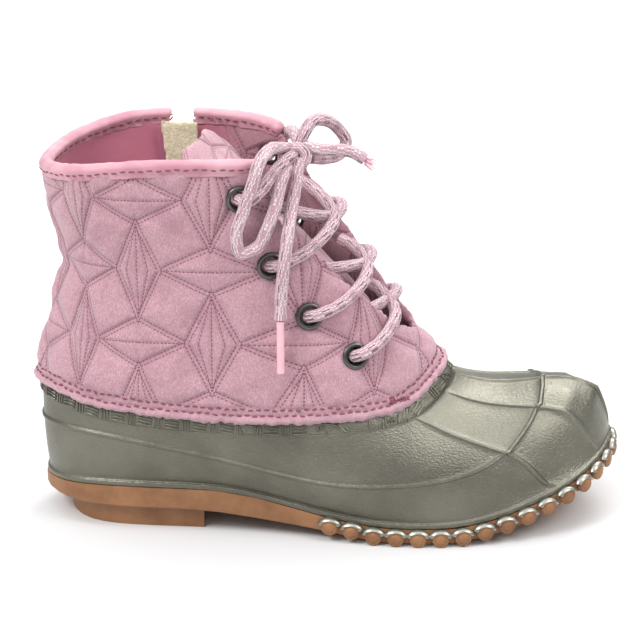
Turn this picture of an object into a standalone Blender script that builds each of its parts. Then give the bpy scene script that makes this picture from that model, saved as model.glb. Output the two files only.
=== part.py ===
"""Right duck boot: a quilted textile shaft on a moulded rubber shell and a gum outsole.

Metres, +Z up, toe towards +X, outer side towards -Y. The origin is the middle of the heel's flat underside.
"""

import math

import bmesh
import bpy
import numpy as np
from mathutils import Matrix, Vector

# Overall sizes
LENGTH = 0.2858
BALL_WIDTH = 0.104
COLLAR_WIDTH = 0.080
SHELL_HEIGHT = 0.0605
COLLAR_HEIGHT = 0.1895
INNER_RISE = 0.002
HEEL_CENTRE = 0.0493

# Outsole
HEEL_SEAT = 0.0230
FOREFOOT_SEAT = 0.0083
HEEL_STEP = 0.0115
ARCH_START = 0.580
ARCH_FULL = 0.285
ARCH_POWER = 0.85
TOE_SPRING = 0.0265
HEEL_INSET = 0.0034
HEEL_BACK_INSET = 0.0100
HEEL_TAPER = 0.0012
SOLE_CHAMFER = 0.0012
LUG_RADIUS = 0.0037
LUG_PITCH = 0.0104
LUG_PROUD = 0.0022
LUG_SINK = 0.0030

# Shell
SHELL_WALL = 0.0024
BEAD_HEIGHT = 0.0022
BEAD_PROUD = 0.0012
FOXING_WIDTH = 0.0024
FOXING_PROUD = 0.0009
RIB_WIDTH = 0.0034
RIB_PROUD = 0.0011
BAND_HEIGHT = 0.0072
BAND_PROUD = 0.0008
FLANGE_HEIGHT = 0.008
FLANGE_GAP = 0.0008

# Shaft, collar and throat
SHAFT_WALL = 0.0032
SHAFT_LAP = 0.0026
ANKLE_WAIST = 0.0106
BINDING_HEIGHT = 0.0068
BINDING_WIDTH = 0.0056
THROAT_LENGTH = 0.109
THROAT_OUTER = 0.031
THROAT_INNER = 0.022
EYELET_HOLE = 0.0040
EYELET_FLANGE = 0.0062
EYELET_BARREL = 0.0046
EYELET_CROWN = 0.0052
EYELET_RISE = 0.0009
EYELET_LIFT = 0.0004

# Tongue, insole, lace and zip
TONGUE_WALL = 0.0030
TONGUE_GAP = 0.0007
TONGUE_REACH = 0.090
TONGUE_LEAN = math.radians(45)
TONGUE_SKEW = 0.25
TONGUE_TURN = 0.10
INSOLE_WALL = 0.0035
INSOLE_INSET = 0.0052
LACE_WIDTH = 0.0064
LACE_DEPTH = 0.0042
LACE_RADIUS = 0.0030
KNOT_RADIUS = 0.0043
AGLET_RADIUS = 0.0019
ZIP_TOP = 0.178
ZIP_FOOT = 0.082
ZIP_SLIT = 0.0104
ZIP_MOUTH = 0.0130
ZIP_TAPE_WIDTH = 0.0110
ZIP_TAPE_WALL = 0.0012
ZIP_TOOTH = 0.0022
ZIP_TOOTH_RISE = 0.0009
ZIP_MEET = 0.0003
ZIP_TAPE_END = 0.004
SLIDER_HEIGHT = 0.152
SLIDER_LENGTH = 0.0100
SLIDER_WIDTH = 0.0086
SLIDER_SUNK = 0.0020
SLIDER_PROUD = 0.0006
BAIL_WIDTH = 0.0022
BAIL_WALL = 0.0008
BAIL_REACH = 0.0014
PULL_LENGTH = 0.0240
PULL_WIDTH = 0.0072
PULL_WALL = 0.0013
PULL_WINDOW = 0.0032
PULL_WINDOW_LENGTH = 0.0030
GUARD_WALL = 0.0022
GUARD_WIDTH = 0.0190
GUARD_TOP = 0.1860
GAP = 0.0003

PLAIN_COLUMNS = 36
EYELET_SIDES = 10
HEEL_CROWDING = 0.03
CLOCK_STEPS = 20

# The boot's outlines at eleven places of the clock, from the toe tip round one side to the heel's back.
# x values are shares of LENGTH from the back; rim and top widths of BALL_WIDTH; collar widths of COLLAR_WIDTH;
# top_z of SHELL_HEIGHT; collar_z of COLLAR_HEIGHT; swell of BALL_WIDTH; foxing and dome are shares by themselves.
CLOCK_NAMES = (
    "rim_x", "rim_out", "rim_in", "foxing", "dome", "swell",
    "top_x", "top_y", "top_z", "collar_x", "collar_out", "collar_in", "collar_z",
)
CLOCK = (
    (.990, -.087, .087, .530, 1.00, .000, .697, .000, 1.240, .438, .000, .000, .975),
    (.954, .178, .317, .460, .72, .000, .687, .116, 1.215, .430, .190, .205, .980),
    (.896, .327, .438, .400, .40, .012, .662, .236, 1.140, .407, .340, .365, .987),
    (.800, .440, .510, .350, .20, .028, .617, .341, 1.058, .372, .430, .465, .993),
    (.669, .490, .476, .400, .06, .042, .550, .399, 1.025, .322, .475, .515, .998),
    (.529, .442, .372, .410, .00, .046, .466, .408, 1.003, .270, .494, .540, 1.000),
    (.379, .370, .325, .450, .00, .038, .354, .387, .992, .214, .500, .545, .998),
    (.2285, .332, .322, .600, .00, .028, .2215, .365, 1.030, .155, .482, .520, .990),
    (.1095, .284, .284, .660, .00, .022, .108, .312, 1.090, .092, .395, .425, .972),
    (.043, .172, .172, .620, .00, .014, .039, .178, 1.137, .043, .215, .230, .955),
    (.015, .000, .000, .600, .00, .010, .009, .000, 1.140, .024, .000, .000, .947),
)

# The toe's profile from the rim to the shaft: share of the way, share of the run back, share of the rise.
TOE_NAMES = ("way", "run", "rise")
TOE = (
    (.000, .000, .000),
    (.076, .000, .070),
    (.149, .018, .280),
    (.229, .057, .495),
    (.292, .105, .642),
    (.345, .160, .712),
    (.430, .280, .735),
    (.529, .410, .734),
    (.635, .550, .702),
    (.762, .720, .709),
    (.852, .838, .764),
    (.930, .932, .863),
    (1.000, 1.000, 1.000),
)

# How far the shaft draws in between its foot and the collar, as shares of ANKLE_WAIST.
WAIST_NAMES = ("height", "back", "side", "front")
WAIST = (
    (.00, .00, .00, .00),
    (.06, .00, .00, .12),
    (.20, .33, .10, .36),
    (.37, .69, .28, .15),
    (.55, 1.00, .42, -.14),
    (.70, .66, .38, -.28),
    (.83, .22, .24, -.05),
    (1.00, .00, .00, .00),
)

# The ribs on the vamp, by their place on the clock at the rim and at the band.
RIB_NAMES = ("rim", "band")
RIBS = ((0.0, 0.0), (0.80, 1.35), (2.15, 2.75), (-0.80, -1.35), (-2.15, -2.75))

# The outer eyelets from the top down: x as a share of LENGTH from the back, z of COLLAR_HEIGHT,
# and how far forward of it the inner eyelet of the same row sits, as a share of LENGTH.
EYELET_NAMES = ("x", "z", "shift")
EYELETS = (
    (.356, .900, .045),
    (.405, .727, .038),
    (.468, .597, .028),
    (.544, .490, .014),
)


def columns(names, rows):
    """A table's columns by name."""
    return {name: np.array([row[i] for row in rows]) for i, name in enumerate(names)}


def closed_spline(values):
    """A smooth closed curve through values that stand one clock step apart, as a function of the clock."""
    count = len(values)
    before, after = np.roll(values, 1), np.roll(values, -1)
    eye = np.eye(count)
    slopes = np.linalg.solve(4 * eye + np.roll(eye, 1, 0) + np.roll(eye, -1, 0), 3 * (after - before))

    def at(clock):
        clock = np.asarray(clock, float) % count
        here = np.floor(clock).astype(int) % count
        there = (here + 1) % count
        part = clock - np.floor(clock)
        square, cube = part**2, part**3
        return (
            values[here] * (2 * cube - 3 * square + 1)
            + values[there] * (3 * square - 2 * cube)
            + slopes[here] * (cube - 2 * square + part)
            + slopes[there] * (cube - square)
        )

    return at


def open_spline(places, values):
    """A smooth curve through values at uneven places, as a function of the place."""
    slopes = np.gradient(values, places)

    def at(place):
        place = np.clip(np.asarray(place, float), places[0], places[-1])
        here = np.clip(np.searchsorted(places, place, side="right") - 1, 0, len(places) - 2)
        width = places[here + 1] - places[here]
        part = (place - places[here]) / width
        square, cube = part**2, part**3
        return (
            values[here] * (2 * cube - 3 * square + 1)
            + values[here + 1] * (3 * square - 2 * cube)
            + slopes[here] * width * (cube - 2 * square + part)
            + slopes[here + 1] * width * (cube - square)
        )

    return at


def round_clock(outer, inner):
    """One closed curve from a half table's outer column and its inner column, back to the toe."""
    return closed_spline(np.concatenate([outer, inner[-2:0:-1]]))


def smooth_step(low, high, value):
    part = np.clip((value - low) / (high - low), 0, 1)
    return part * part * (3 - 2 * part)


clock_table = columns(CLOCK_NAMES, CLOCK)
toe_table = columns(TOE_NAMES, TOE)
waist_table = columns(WAIST_NAMES, WAIST)
eyelet_table = columns(EYELET_NAMES, EYELETS)


def even(name, size=1.0, start=0.0):
    values = clock_table[name] * size + start
    return round_clock(values, values)


def odd(outer, inner, size):
    return round_clock(-clock_table[outer] * size, clock_table[inner] * size)


rim_x = even("rim_x", LENGTH, -HEEL_CENTRE)
rim_y = odd("rim_out", "rim_in", BALL_WIDTH)
top_x = even("top_x", LENGTH, -HEEL_CENTRE)
top_y = odd("top_y", "top_y", BALL_WIDTH)
top_z = even("top_z", SHELL_HEIGHT)
collar_x = even("collar_x", LENGTH, -HEEL_CENTRE)
collar_y = odd("collar_out", "collar_in", COLLAR_WIDTH)
collar_level = even("collar_z", COLLAR_HEIGHT)
foxing_way = even("foxing")
dome = even("dome")
swell = even("swell", BALL_WIDTH)
toe_run = open_spline(toe_table["way"], toe_table["run"])
toe_rise = open_spline(toe_table["way"], toe_table["rise"])
waist = {side: open_spline(waist_table["height"], waist_table[side]) for side in ("back", "side", "front")}


def collar_z(clock):
    """The collar's edge, a little higher on the inner side."""
    return collar_level(clock) + INNER_RISE * np.maximum(collar_y(clock), 0) / (COLLAR_WIDTH / 2)


def share_x(share):
    return share * LENGTH - HEEL_CENTRE


def toe_lift(x):
    """How far the tread has curved up from the floor."""
    start = share_x(.70)
    return TOE_SPRING * (np.maximum(x - start, 0) / (share_x(1) - start)) ** 1.5


def seat_z(x):
    """The outsole's top, where the shell stands on it."""
    rise = smooth_step(share_x(.60), share_x(.285), x)
    dip = (np.maximum(share_x(.15) - x, 0) / LENGTH) ** 2
    return FOREFOOT_SEAT + (HEEL_SEAT - FOREFOOT_SEAT) * rise + toe_lift(x) - .8 * LENGTH * dip


def tread_z(x):
    """The underside of the sole's rim layer: arched under the waist, a step above the floor at the heel."""
    start, full = share_x(ARCH_START), share_x(ARCH_FULL)
    return HEEL_STEP * np.clip((start - x) / (start - full), 0, 1) ** ARCH_POWER + toe_lift(x)


def plan_normal(x_at, y_at, clock):
    """The unit outward direction in plan of a closed outline."""
    step = 1e-3
    along_x = x_at(clock + step) - x_at(clock - step)
    along_y = y_at(clock + step) - y_at(clock - step)
    size = np.hypot(along_x, along_y)
    return -along_y / size, along_x / size


def shell_point(clock, way):
    """A point of the shell's outer face: way is 0 at the rim and 1 at the foot of the shaft."""
    clock, way = np.broadcast_arrays(np.asarray(clock, float), np.asarray(way, float))
    near_x, near_y = rim_x(clock), rim_y(clock)
    near_z = seat_z(near_x)
    bend = np.clip(dome(clock), 0, 1)
    run = way + bend * (toe_run(way) - way)
    rise = way + bend * (toe_rise(way) - way)
    out_x, out_y = plan_normal(rim_x, rim_y, clock)
    belly = swell(clock) * np.sin(math.pi * way)
    return np.stack([
        near_x + (top_x(clock) - near_x) * run + out_x * belly,
        near_y + (top_y(clock) - near_y) * run + out_y * belly,
        near_z + (top_z(clock) - near_z) * rise,
    ], axis=-1)


def normal_of(surface, clock, way):
    """The unit outward normal of a surface that is a function of the clock and the way up."""
    step = 1e-3
    round_it = surface(clock + step, way) - surface(clock - step, way)
    up_it = surface(clock, way + step) - surface(clock, way - step)
    cross = np.cross(up_it, round_it)
    return cross / np.linalg.norm(cross, axis=-1, keepdims=True)


def unit(vectors):
    return vectors / np.linalg.norm(vectors, axis=-1, keepdims=True)


def shaft_foot(clock, out=SHAFT_LAP, up=GAP):
    """The shaft's lower edge, lapped over the top of the shell."""
    edge = shell_point(clock, 1.0)
    climb = unit(edge - shell_point(clock, .97))
    return edge + normal_of(shell_point, clock, .995) * out + climb * up


def shaft_point(clock, height):
    """A point of the shaft's outer face: height is 0 at its lower edge and 1 at the collar."""
    clock, height = np.broadcast_arrays(np.asarray(clock, float), np.asarray(height, float))
    foot = shaft_foot(clock)
    rim = np.stack([collar_x(clock), collar_y(clock), collar_z(clock)], axis=-1)
    step = 1e-3
    ahead, behind = clock + step, clock - step
    along_x = (top_x(ahead) - top_x(behind)) * (1 - height) + (collar_x(ahead) - collar_x(behind)) * height
    along_y = (top_y(ahead) - top_y(behind)) * (1 - height) + (collar_y(ahead) - collar_y(behind)) * height
    size = np.hypot(along_x, along_y)
    from_toe = np.minimum(clock % CLOCK_STEPS, CLOCK_STEPS - clock % CLOCK_STEPS)
    front = 1 - smooth_step(0, 3, from_toe)
    back = smooth_step(6, 9.5, from_toe)
    draw = ANKLE_WAIST * (
        waist["front"](height) * front
        + waist["back"](height) * back
        + waist["side"](height) * (1 - front - back)
    )
    point = foot * (1 - height[..., None]) + rim * height[..., None]
    point[..., 0] += along_y / size * draw
    point[..., 1] -= along_x / size * draw
    return point


def on_shaft(x, z, side):
    """The clock and height of the shaft's point at x and z, on the outer (-1) or inner (1) side."""
    clocks = np.linspace(.05, 9.9, 400) if side < 0 else np.linspace(19.95, 10.1, 400)
    height = .5
    for _ in range(8):
        clock = np.interp(-x, -shaft_point(clocks, height)[:, 0], clocks)
        foot, rim = shaft_point(clock, 0.0)[2], shaft_point(clock, 1.0)[2]
        height = (z - foot) / (rim - foot)
    return float(clock), float(height)


def shaft_spot(x, z, side, depth=0.0):
    """The point and the normal on the shaft at x and z, sunk by depth from its outer face."""
    clock, height = on_shaft(x, z, side)
    normal = normal_of(shaft_point, clock, height)
    return shaft_point(clock, height) - normal * depth, normal


def to_collection(name):
    made = bpy.data.collections.new(name)
    bpy.context.scene.collection.children.link(made)
    return made


def material(name, colour, roughness, metallic=0.0):
    made = bpy.data.materials.new(name)
    made.use_nodes = True
    shader = made.node_tree.nodes["Principled BSDF"]
    shader.inputs["Base Color"].default_value = (*colour, 1.0)
    shader.inputs["Roughness"].default_value = roughness
    shader.inputs["Metallic"].default_value = metallic
    return made


def add_object(name, mesh, finish, home):
    made = bpy.data.objects.new(name, mesh)
    home.objects.link(made)
    if finish:
        mesh.materials.append(finish)
        mesh.shade_smooth()
        mesh.set_sharp_from_angle(angle=math.radians(35))
    else:
        made.hide_render = True
        made.display_type = "WIRE"
    return made


def from_bmesh(name, shape, finish, home):
    mesh = bpy.data.meshes.new(name)
    shape.to_mesh(mesh)
    shape.free()
    return add_object(name, mesh, finish, home)


def bridge(shape, first, second, closed=True):
    """Quads between two rows of corners, facing out when the rows run clockwise from above and second is higher."""
    count = len(first)
    for k in range(count if closed else count - 1):
        n = (k + 1) % count
        shape.faces.new((first[k], second[k], second[n], first[n]))


def ring_solid(rings):
    """A closed wall from rings that go up its outer face and down its inner face."""
    shape = bmesh.new()
    rows = [[shape.verts.new(point) for point in ring] for ring in rings]
    for first, second in zip(rows, rows[1:] + rows[:1]):
        bridge(shape, first, second)
    return shape


def strip_cap(shape, ring):
    """Closes a ring with strips across it, from each of its places to the mirrored one."""
    for k in range(len(ring) // 2 - 1):
        shape.faces.new((ring[k], ring[k + 1], ring[-k - 2], ring[-k - 1]))


def slab_solid(rings):
    """A solid between its lowest and its highest ring, each closed by strips."""
    shape = bmesh.new()
    rows = [[shape.verts.new(point) for point in ring] for ring in rings]
    for first, second in zip(rows, rows[1:]):
        bridge(shape, first, second)
    strip_cap(shape, rows[0])
    strip_cap(shape, rows[-1])
    bmesh.ops.recalc_face_normals(shape, faces=shape.faces)
    return shape


def bar_solid(sections):
    """A solid through a row of closed sections, capped at both ends."""
    shape = bmesh.new()
    rows = [[shape.verts.new(point) for point in section] for section in sections]
    for first, second in zip(rows, rows[1:]):
        bridge(shape, first, second)
    shape.faces.new(rows[0])
    shape.faces.new(rows[-1][::-1])
    bmesh.ops.recalc_face_normals(shape, faces=shape.faces)
    return shape


def cut(body, cutter, operation="DIFFERENCE"):
    change = body.modifiers.new(cutter.name, "BOOLEAN")
    change.operation = operation
    change.object = cutter


def shell_columns():
    """Each column's clock as a pair (rim, band), its offset in metres from that line, and whether it is raised."""
    listed = []
    for at_rim, at_band in RIBS:
        for offset, raised in ((-.5, 0), (-.28, 1), (.28, 1), (.5, 0)):
            listed.append((at_rim, at_band, offset * RIB_WIDTH, raised))
    ribs = sorted(RIBS)
    for first, second in zip(ribs, ribs[1:]):
        for part in (1 / 3, 2 / 3):
            listed.append((*(np.array(first) + part * (np.array(second) - np.array(first))), 0.0, 0))
    last, start = ribs[-1], ribs[0]
    wrapped = (start[0] + CLOCK_STEPS, start[1] + CLOCK_STEPS)
    for k in range(1, PLAIN_COLUMNS + 1):
        even_part = k / (PLAIN_COLUMNS + 1)
        part = even_part + HEEL_CROWDING * math.sin(2 * math.pi * even_part)
        listed.append((*(np.array(last) + part * (np.array(wrapped) - np.array(last))), 0.0, 0))
    return np.array(sorted(listed, key=lambda row: (row[0] + row[1], row[2])))


def column_clocks(table, way):
    """The clock of each of the shell's columns at one height of it."""
    at_rim, at_band, offset, _ = table.T
    middle = at_rim + (at_band - at_rim) * way
    step = 1e-3
    along = shell_point(middle + step, way) - shell_point(middle - step, way)
    return middle + offset * 2 * step / np.linalg.norm(along, axis=-1)


def rim_clocks():
    """The shell's columns where they stand on the outsole, from the toe round to the toe."""
    return np.sort(column_clocks(shell_columns(), 0.0) % CLOCK_STEPS)


def build_shell(finish, home):
    """The moulded lower: bead, foxing line, ribs, band and sewing flange, with a plain inner face."""
    table = shell_columns()
    at_rim, at_band, _, raised = table.T

    def clocks(way):
        return column_clocks(table, way)

    ways = np.linspace(0, 1, 41)
    lines = np.array([shell_point(at_rim + (at_band - at_rim) * way, way) for way in ways])
    reach = np.linalg.norm(np.diff(lines, axis=0), axis=-1).sum(axis=0)
    line = foxing_way(at_rim + (at_band - at_rim) * .45)
    band = 1 - BAND_HEIGHT / reach
    edge, crown = FOXING_WIDTH / 2 / reach, FOXING_WIDTH / 4 / reach

    def row(way, proud=0.0, ribbed=True):
        clock = clocks(way)
        height = proud + (RIB_PROUD * raised if ribbed else 0)
        normal = normal_of(shell_point, clock, np.clip(way, .002, .998))
        return shell_point(clock, way) + normal * np.asarray(height)[..., None] * np.ones((len(clock), 1))

    def bead(height, proud):
        clock = clocks(0.0)
        out_x, out_y = plan_normal(rim_x, rim_y, clock)
        point = shell_point(clock, 0.0)
        seat = np.maximum(seat_z(point[:, 0] + out_x * (proud - BEAD_PROUD)) - point[:, 2], 0)
        return point + np.stack([out_x * proud, out_y * proud, height + seat], axis=-1)

    rings = [bead(0, BEAD_PROUD), bead(BEAD_HEIGHT, BEAD_PROUD), bead(BEAD_HEIGHT * 1.3, 0)]
    rings += [row(line * part) for part in (.27, .5, .75)]
    rings += [row(line - edge), row(line - crown, FOXING_PROUD), row(line + crown, FOXING_PROUD), row(line + edge)]
    rings += [row(line + (band - line) * part) for part in (.3, .6, .85)]
    rings += [row(band, 0, False), row(band + crown, BAND_PROUD, False), row(1.0, BAND_PROUD, False)]
    clock = clocks(1.0)
    flange_out = SHAFT_LAP - SHAFT_WALL - FLANGE_GAP
    rings.append(shaft_foot(clock, flange_out, 0))
    tall = FLANGE_HEIGHT / (COLLAR_HEIGHT - SHELL_HEIGHT)
    climb = shaft_point(clock, tall)
    lean = normal_of(shaft_point, clock, tall)
    rings.append(climb + lean * (flange_out - SHAFT_LAP))
    rings.append(climb + lean * (flange_out - SHAFT_LAP - SHELL_WALL * .7))
    rings.append(shaft_foot(clock, flange_out - SHELL_WALL * .8, 0))
    for way in (.93, .72, .48, .22):
        rings.append(row(way, -SHELL_WALL, False))
    rings.append(bead(0, -SHELL_WALL))
    return from_bmesh("shell", ring_solid(rings), finish, home)


def build_outsole(finish, home, cutters):
    """The gum sole: a rim layer with an arched underside, the heel block and the chain of lugs."""
    clock = rim_clocks()
    out_x, out_y = plan_normal(rim_x, rim_y, clock)

    def ring(outset, height):
        edge = rim_x(clock)
        return np.stack([edge + out_x * outset, rim_y(clock) + out_y * outset, height(edge)], axis=-1)

    body = from_bmesh("outsole", slab_solid([
        ring(BEAD_PROUD - SOLE_CHAMFER, tread_z),
        ring(BEAD_PROUD, lambda x: tread_z(x) + SOLE_CHAMFER),
        ring(BEAD_PROUD, lambda x: seat_z(x) - GAP),
    ]), finish, home)

    heel = np.linspace(6.6, 13.4, 25)
    heel_x, heel_y = plan_normal(rim_x, rim_y, heel)
    side_inset = HEEL_INSET + (HEEL_BACK_INSET - HEEL_INSET) * smooth_step(2.4, 0, abs(heel - CLOCK_STEPS / 2))
    sections = []
    for height, taper in ((0.0, HEEL_TAPER), (HEEL_STEP + SOLE_CHAMFER + .0015, 0.0)):
        inset = side_inset + taper
        x, y = rim_x(heel) - heel_x * inset, rim_y(heel) - heel_y * inset
        sections.append(np.stack([x, y, np.full_like(x, height)], axis=-1))
    block = from_bmesh("heel_block_form", bar_solid(sections), None, cutters)
    cut(body, block, "UNION")

    fine = np.linspace(-5.3, 5.3, 801)
    path = np.stack([rim_x(fine), rim_y(fine)], axis=-1)
    along = np.concatenate([[0], np.cumsum(np.linalg.norm(np.diff(path, axis=0), axis=-1))])
    count = int(along[-1] / LUG_PITCH)
    places = np.interp((np.arange(count) + .5) * along[-1] / count, along, fine)
    chain = bmesh.new()
    for place in places:
        x, y = float(rim_x(place)), float(rim_y(place))
        nx, ny = (float(part) for part in plan_normal(rim_x, rim_y, place))
        middle = Vector((x + nx * (LUG_PROUD - LUG_SINK) / 2 + nx * BEAD_PROUD, y + ny * (LUG_PROUD - LUG_SINK) / 2
                         + ny * BEAD_PROUD, float(tread_z(x)) + LUG_RADIUS + .0002))
        turn = Vector((nx, ny, 0)).to_track_quat("Z", "Y").to_matrix().to_4x4()
        bmesh.ops.create_cone(
            chain, cap_ends=True, segments=12, radius1=LUG_RADIUS, radius2=LUG_RADIUS * .86,
            depth=LUG_PROUD + LUG_SINK, matrix=Matrix.Translation(middle) @ turn,
        )
    cut(body, from_bmesh("lug_chain_form", chain, None, cutters), "UNION")
    return body


def build_insole(finish, home):
    clock = rim_clocks()
    out_x, out_y = plan_normal(rim_x, rim_y, clock)
    rings = []
    for lift, inset in ((0.0, INSOLE_INSET), (INSOLE_WALL, INSOLE_INSET)):
        x, y = rim_x(clock) - out_x * inset, rim_y(clock) - out_y * inset
        rings.append(np.stack([x, y, seat_z(x) + lift], axis=-1))
    return from_bmesh("insole", slab_solid(rings), finish, home)


def build_shaft(finish, home, cutters):
    """The textile upper: one wall, cut open at the throat, the zip and the eyelets."""
    clock = np.arange(52) * CLOCK_STEPS / 52
    top = 1 - BINDING_HEIGHT / (COLLAR_HEIGHT - SHELL_HEIGHT)

    def row(height, depth):
        return shaft_point(clock, height) - normal_of(shaft_point, clock, height) * depth

    rings = [shaft_foot(clock)]
    rings += [row(top * part, 0) for part in (.05, .15, .28, .42, .56, .70, .85, 1)]
    rings += [row(top * part, SHAFT_WALL) for part in (1, .85, .70, .56, .42, .28, .15, .05)]
    rings.append(shaft_foot(clock, SHAFT_LAP - SHAFT_WALL, GAP))
    body = from_bmesh("shaft", ring_solid(rings), finish, home)
    cut(body, build_throat_form(cutters))
    cut(body, build_slit_form(cutters))
    holes = bmesh.new()
    for side, x, z in eyelet_places():
        point, normal = shaft_spot(x, z, side)
        turn = Vector(normal).to_track_quat("Z", "Y").to_matrix().to_4x4()
        bmesh.ops.create_cone(
            holes, cap_ends=True, segments=12, radius1=EYELET_BARREL + GAP, radius2=EYELET_BARREL + GAP,
            depth=SHAFT_WALL * 4, matrix=Matrix.Translation(point) @ turn,
        )
    cut(body, from_bmesh("eyelet_holes_form", holes, None, cutters))
    return body


def eyelet_places():
    """(side, x, z) of every eyelet, the outer ones first."""
    listed = []
    for side in (-1, 1):
        for x, z, shift in EYELETS:
            listed.append((side, share_x(x + (shift if side > 0 else 0)), z * COLLAR_HEIGHT))
    return listed


def throat_frame():
    """The throat's own axes: the place of its lowest point, the way up the front and the way out of it."""
    low, high = shaft_point(0.0, 0.0), shaft_point(0.0, 1.0)
    reach = np.array([high[0] - low[0], 0, high[2] - low[2]])
    up = unit(reach)
    return low + up * (np.linalg.norm(reach) - THROAT_LENGTH), up, np.array([up[2], 0, -up[0]])


# The throat's outline: share of its length up from the bottom, share of the outer and of the inner width.
THROAT_NAMES = ("up", "outer", "inner")
THROAT = (
    (.00, .00, .00),
    (.03, .25, .30),
    (.10, .48, .55),
    (.22, .66, .72),
    (.40, .80, .84),
    (.60, .90, .92),
    (.85, 1.04, 1.02),
    (1.25, 1.04, 1.20),
)


def build_throat_form(cutters):
    """A prism of the throat's outline, run through the front wall alone."""
    low, up, out = throat_frame()
    outer = [(a * THROAT_LENGTH, -b * THROAT_OUTER) for a, b, c in THROAT]
    inner = [(a * THROAT_LENGTH, c * THROAT_INNER) for a, b, c in THROAT[:0:-1]]
    outline = outer + inner
    sections = []
    for depth in (-.040, .040):
        sections.append([low + up * a + out * depth + np.array([0, b, 0]) for a, b in outline])
    return from_bmesh("throat_form", bar_solid(sections), None, cutters)


def zip_x(z):
    """The zip's middle line on the inner side, leaning forward towards its foot."""
    return share_x(.243) + (COLLAR_HEIGHT - z) * .12


def slit_half(z):
    open_part = smooth_step(SLIDER_HEIGHT, ZIP_TOP + .012, z)
    return (ZIP_SLIT + (ZIP_MOUTH - ZIP_SLIT) * open_part) / 2


def build_slit_form(cutters):
    levels = np.linspace(ZIP_FOOT, ZIP_TOP + .03, 9)
    sections = []
    for z in levels:
        x, half = zip_x(z), slit_half(z)
        sections.append([(x - half, .012, z), (x + half, .012, z), (x + half, .08, z), (x - half, .08, z)])
    return from_bmesh("zip_slit_form", bar_solid(sections), None, cutters)


def flap_edge(side, height_at):
    """How many clock steps from the front the throat's edge lies, along a line of the shaft's wall."""
    low, up, _ = throat_frame()
    table = columns(THROAT_NAMES, THROAT)
    widths = table["outer"] * THROAT_OUTER if side < 0 else table["inner"] * THROAT_INNER
    near, far = 0.0, 6.0
    for _ in range(30):
        turn = (near + far) / 2
        point = shaft_point(-side * turn, height_at(-side * turn))
        half = np.interp((point - low) @ up / THROAT_LENGTH, table["up"], widths)
        if abs(point[1]) < half:
            near = turn
        else:
            far = turn
    return near


def build_eyelet(name, side, x, z, finish, home):
    """A flanged ring through the shaft's wall."""
    point, normal = shaft_spot(x, z, side)
    deep = -SHAFT_WALL - GAP
    profile = (
        (EYELET_BARREL, deep), (EYELET_BARREL, EYELET_LIFT), (EYELET_FLANGE, EYELET_LIFT),
        (EYELET_CROWN, EYELET_LIFT + EYELET_RISE), (EYELET_HOLE, EYELET_LIFT), (EYELET_HOLE, deep),
    )
    turn = Vector(normal).to_track_quat("Z", "Y").to_matrix()
    angles = np.arange(EYELET_SIDES) * 2 * math.pi / EYELET_SIDES
    rings = []
    for radius, height in profile:
        ring = [Vector((radius * math.cos(a), radius * math.sin(a), height)) for a in angles]
        rings.append([Vector(point) + turn @ corner for corner in ring])
    shape = ring_solid(rings)
    bmesh.ops.recalc_face_normals(shape, faces=shape.faces)
    return from_bmesh(name, shape, finish, home)


# A crossing lace: how far its middle rides off the shaft's outer face, from the eyelet that it comes out of,
# over that flap's edge, across the tongue, and in under the other flap.
RIDE = (.0045, .0032, -.0042, -.0054, -.0056)


def signed(clock):
    """The clock as steps from the front, minus on the inner side."""
    return clock - CLOCK_STEPS if clock > CLOCK_STEPS / 2 else clock


def strand_sections(side, start, end):
    """Sections of one crossing lace, from an eyelet of this side to just under the other side's flap."""
    listed = eyelet_places()
    first = listed[start if side < 0 else start + len(EYELETS)]
    last = listed[end + len(EYELETS) if side < 0 else end]
    from_clock, from_height = on_shaft(first[1], first[2], first[0])
    to_clock, to_height = on_shaft(last[1], last[2], last[0])
    from_clock, to_clock = signed(from_clock), signed(to_clock)

    def height_at(clock):
        return from_height + (to_height - from_height) * (clock - from_clock) / (to_clock - from_clock)

    near, far = flap_edge(side, height_at), flap_edge(-side, height_at)
    keys = -side * np.array([abs(from_clock), near + .12, 0.0, -(far - .10), -(far + .22)])
    order = 1 if keys[0] < keys[-1] else -1
    ride = open_spline(keys[::order], np.array(RIDE)[::order])
    sections = []
    for clock in np.linspace(keys[0], keys[-1], 10):
        height = height_at(clock)
        normal = normal_of(shaft_point, clock, height)
        middle = shaft_point(clock, height) + normal * ride(clock)
        step = order * 1e-2
        ahead = shaft_point(clock + step, height_at(clock + step)) - shaft_point(clock, height)
        wide = unit(np.cross(normal, ahead))
        sections.append([
            middle + wide * math.cos(turn) * LACE_WIDTH / 2 + normal * math.sin(turn) * LACE_DEPTH / 2
            for turn in np.arange(8) * math.pi / 4 + math.pi / 8
        ])
    return sections


def build_crossing(name, low, finish, home, cutters):
    """Two laces that cross on the tongue, joined where they meet."""
    body = from_bmesh(name, bar_solid(strand_sections(-1, low, low - 1)), finish, home)
    other = from_bmesh(name + "_other_form", bar_solid(strand_sections(1, low, low - 1)), None, cutters)
    cut(body, other, "UNION")
    return body


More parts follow.
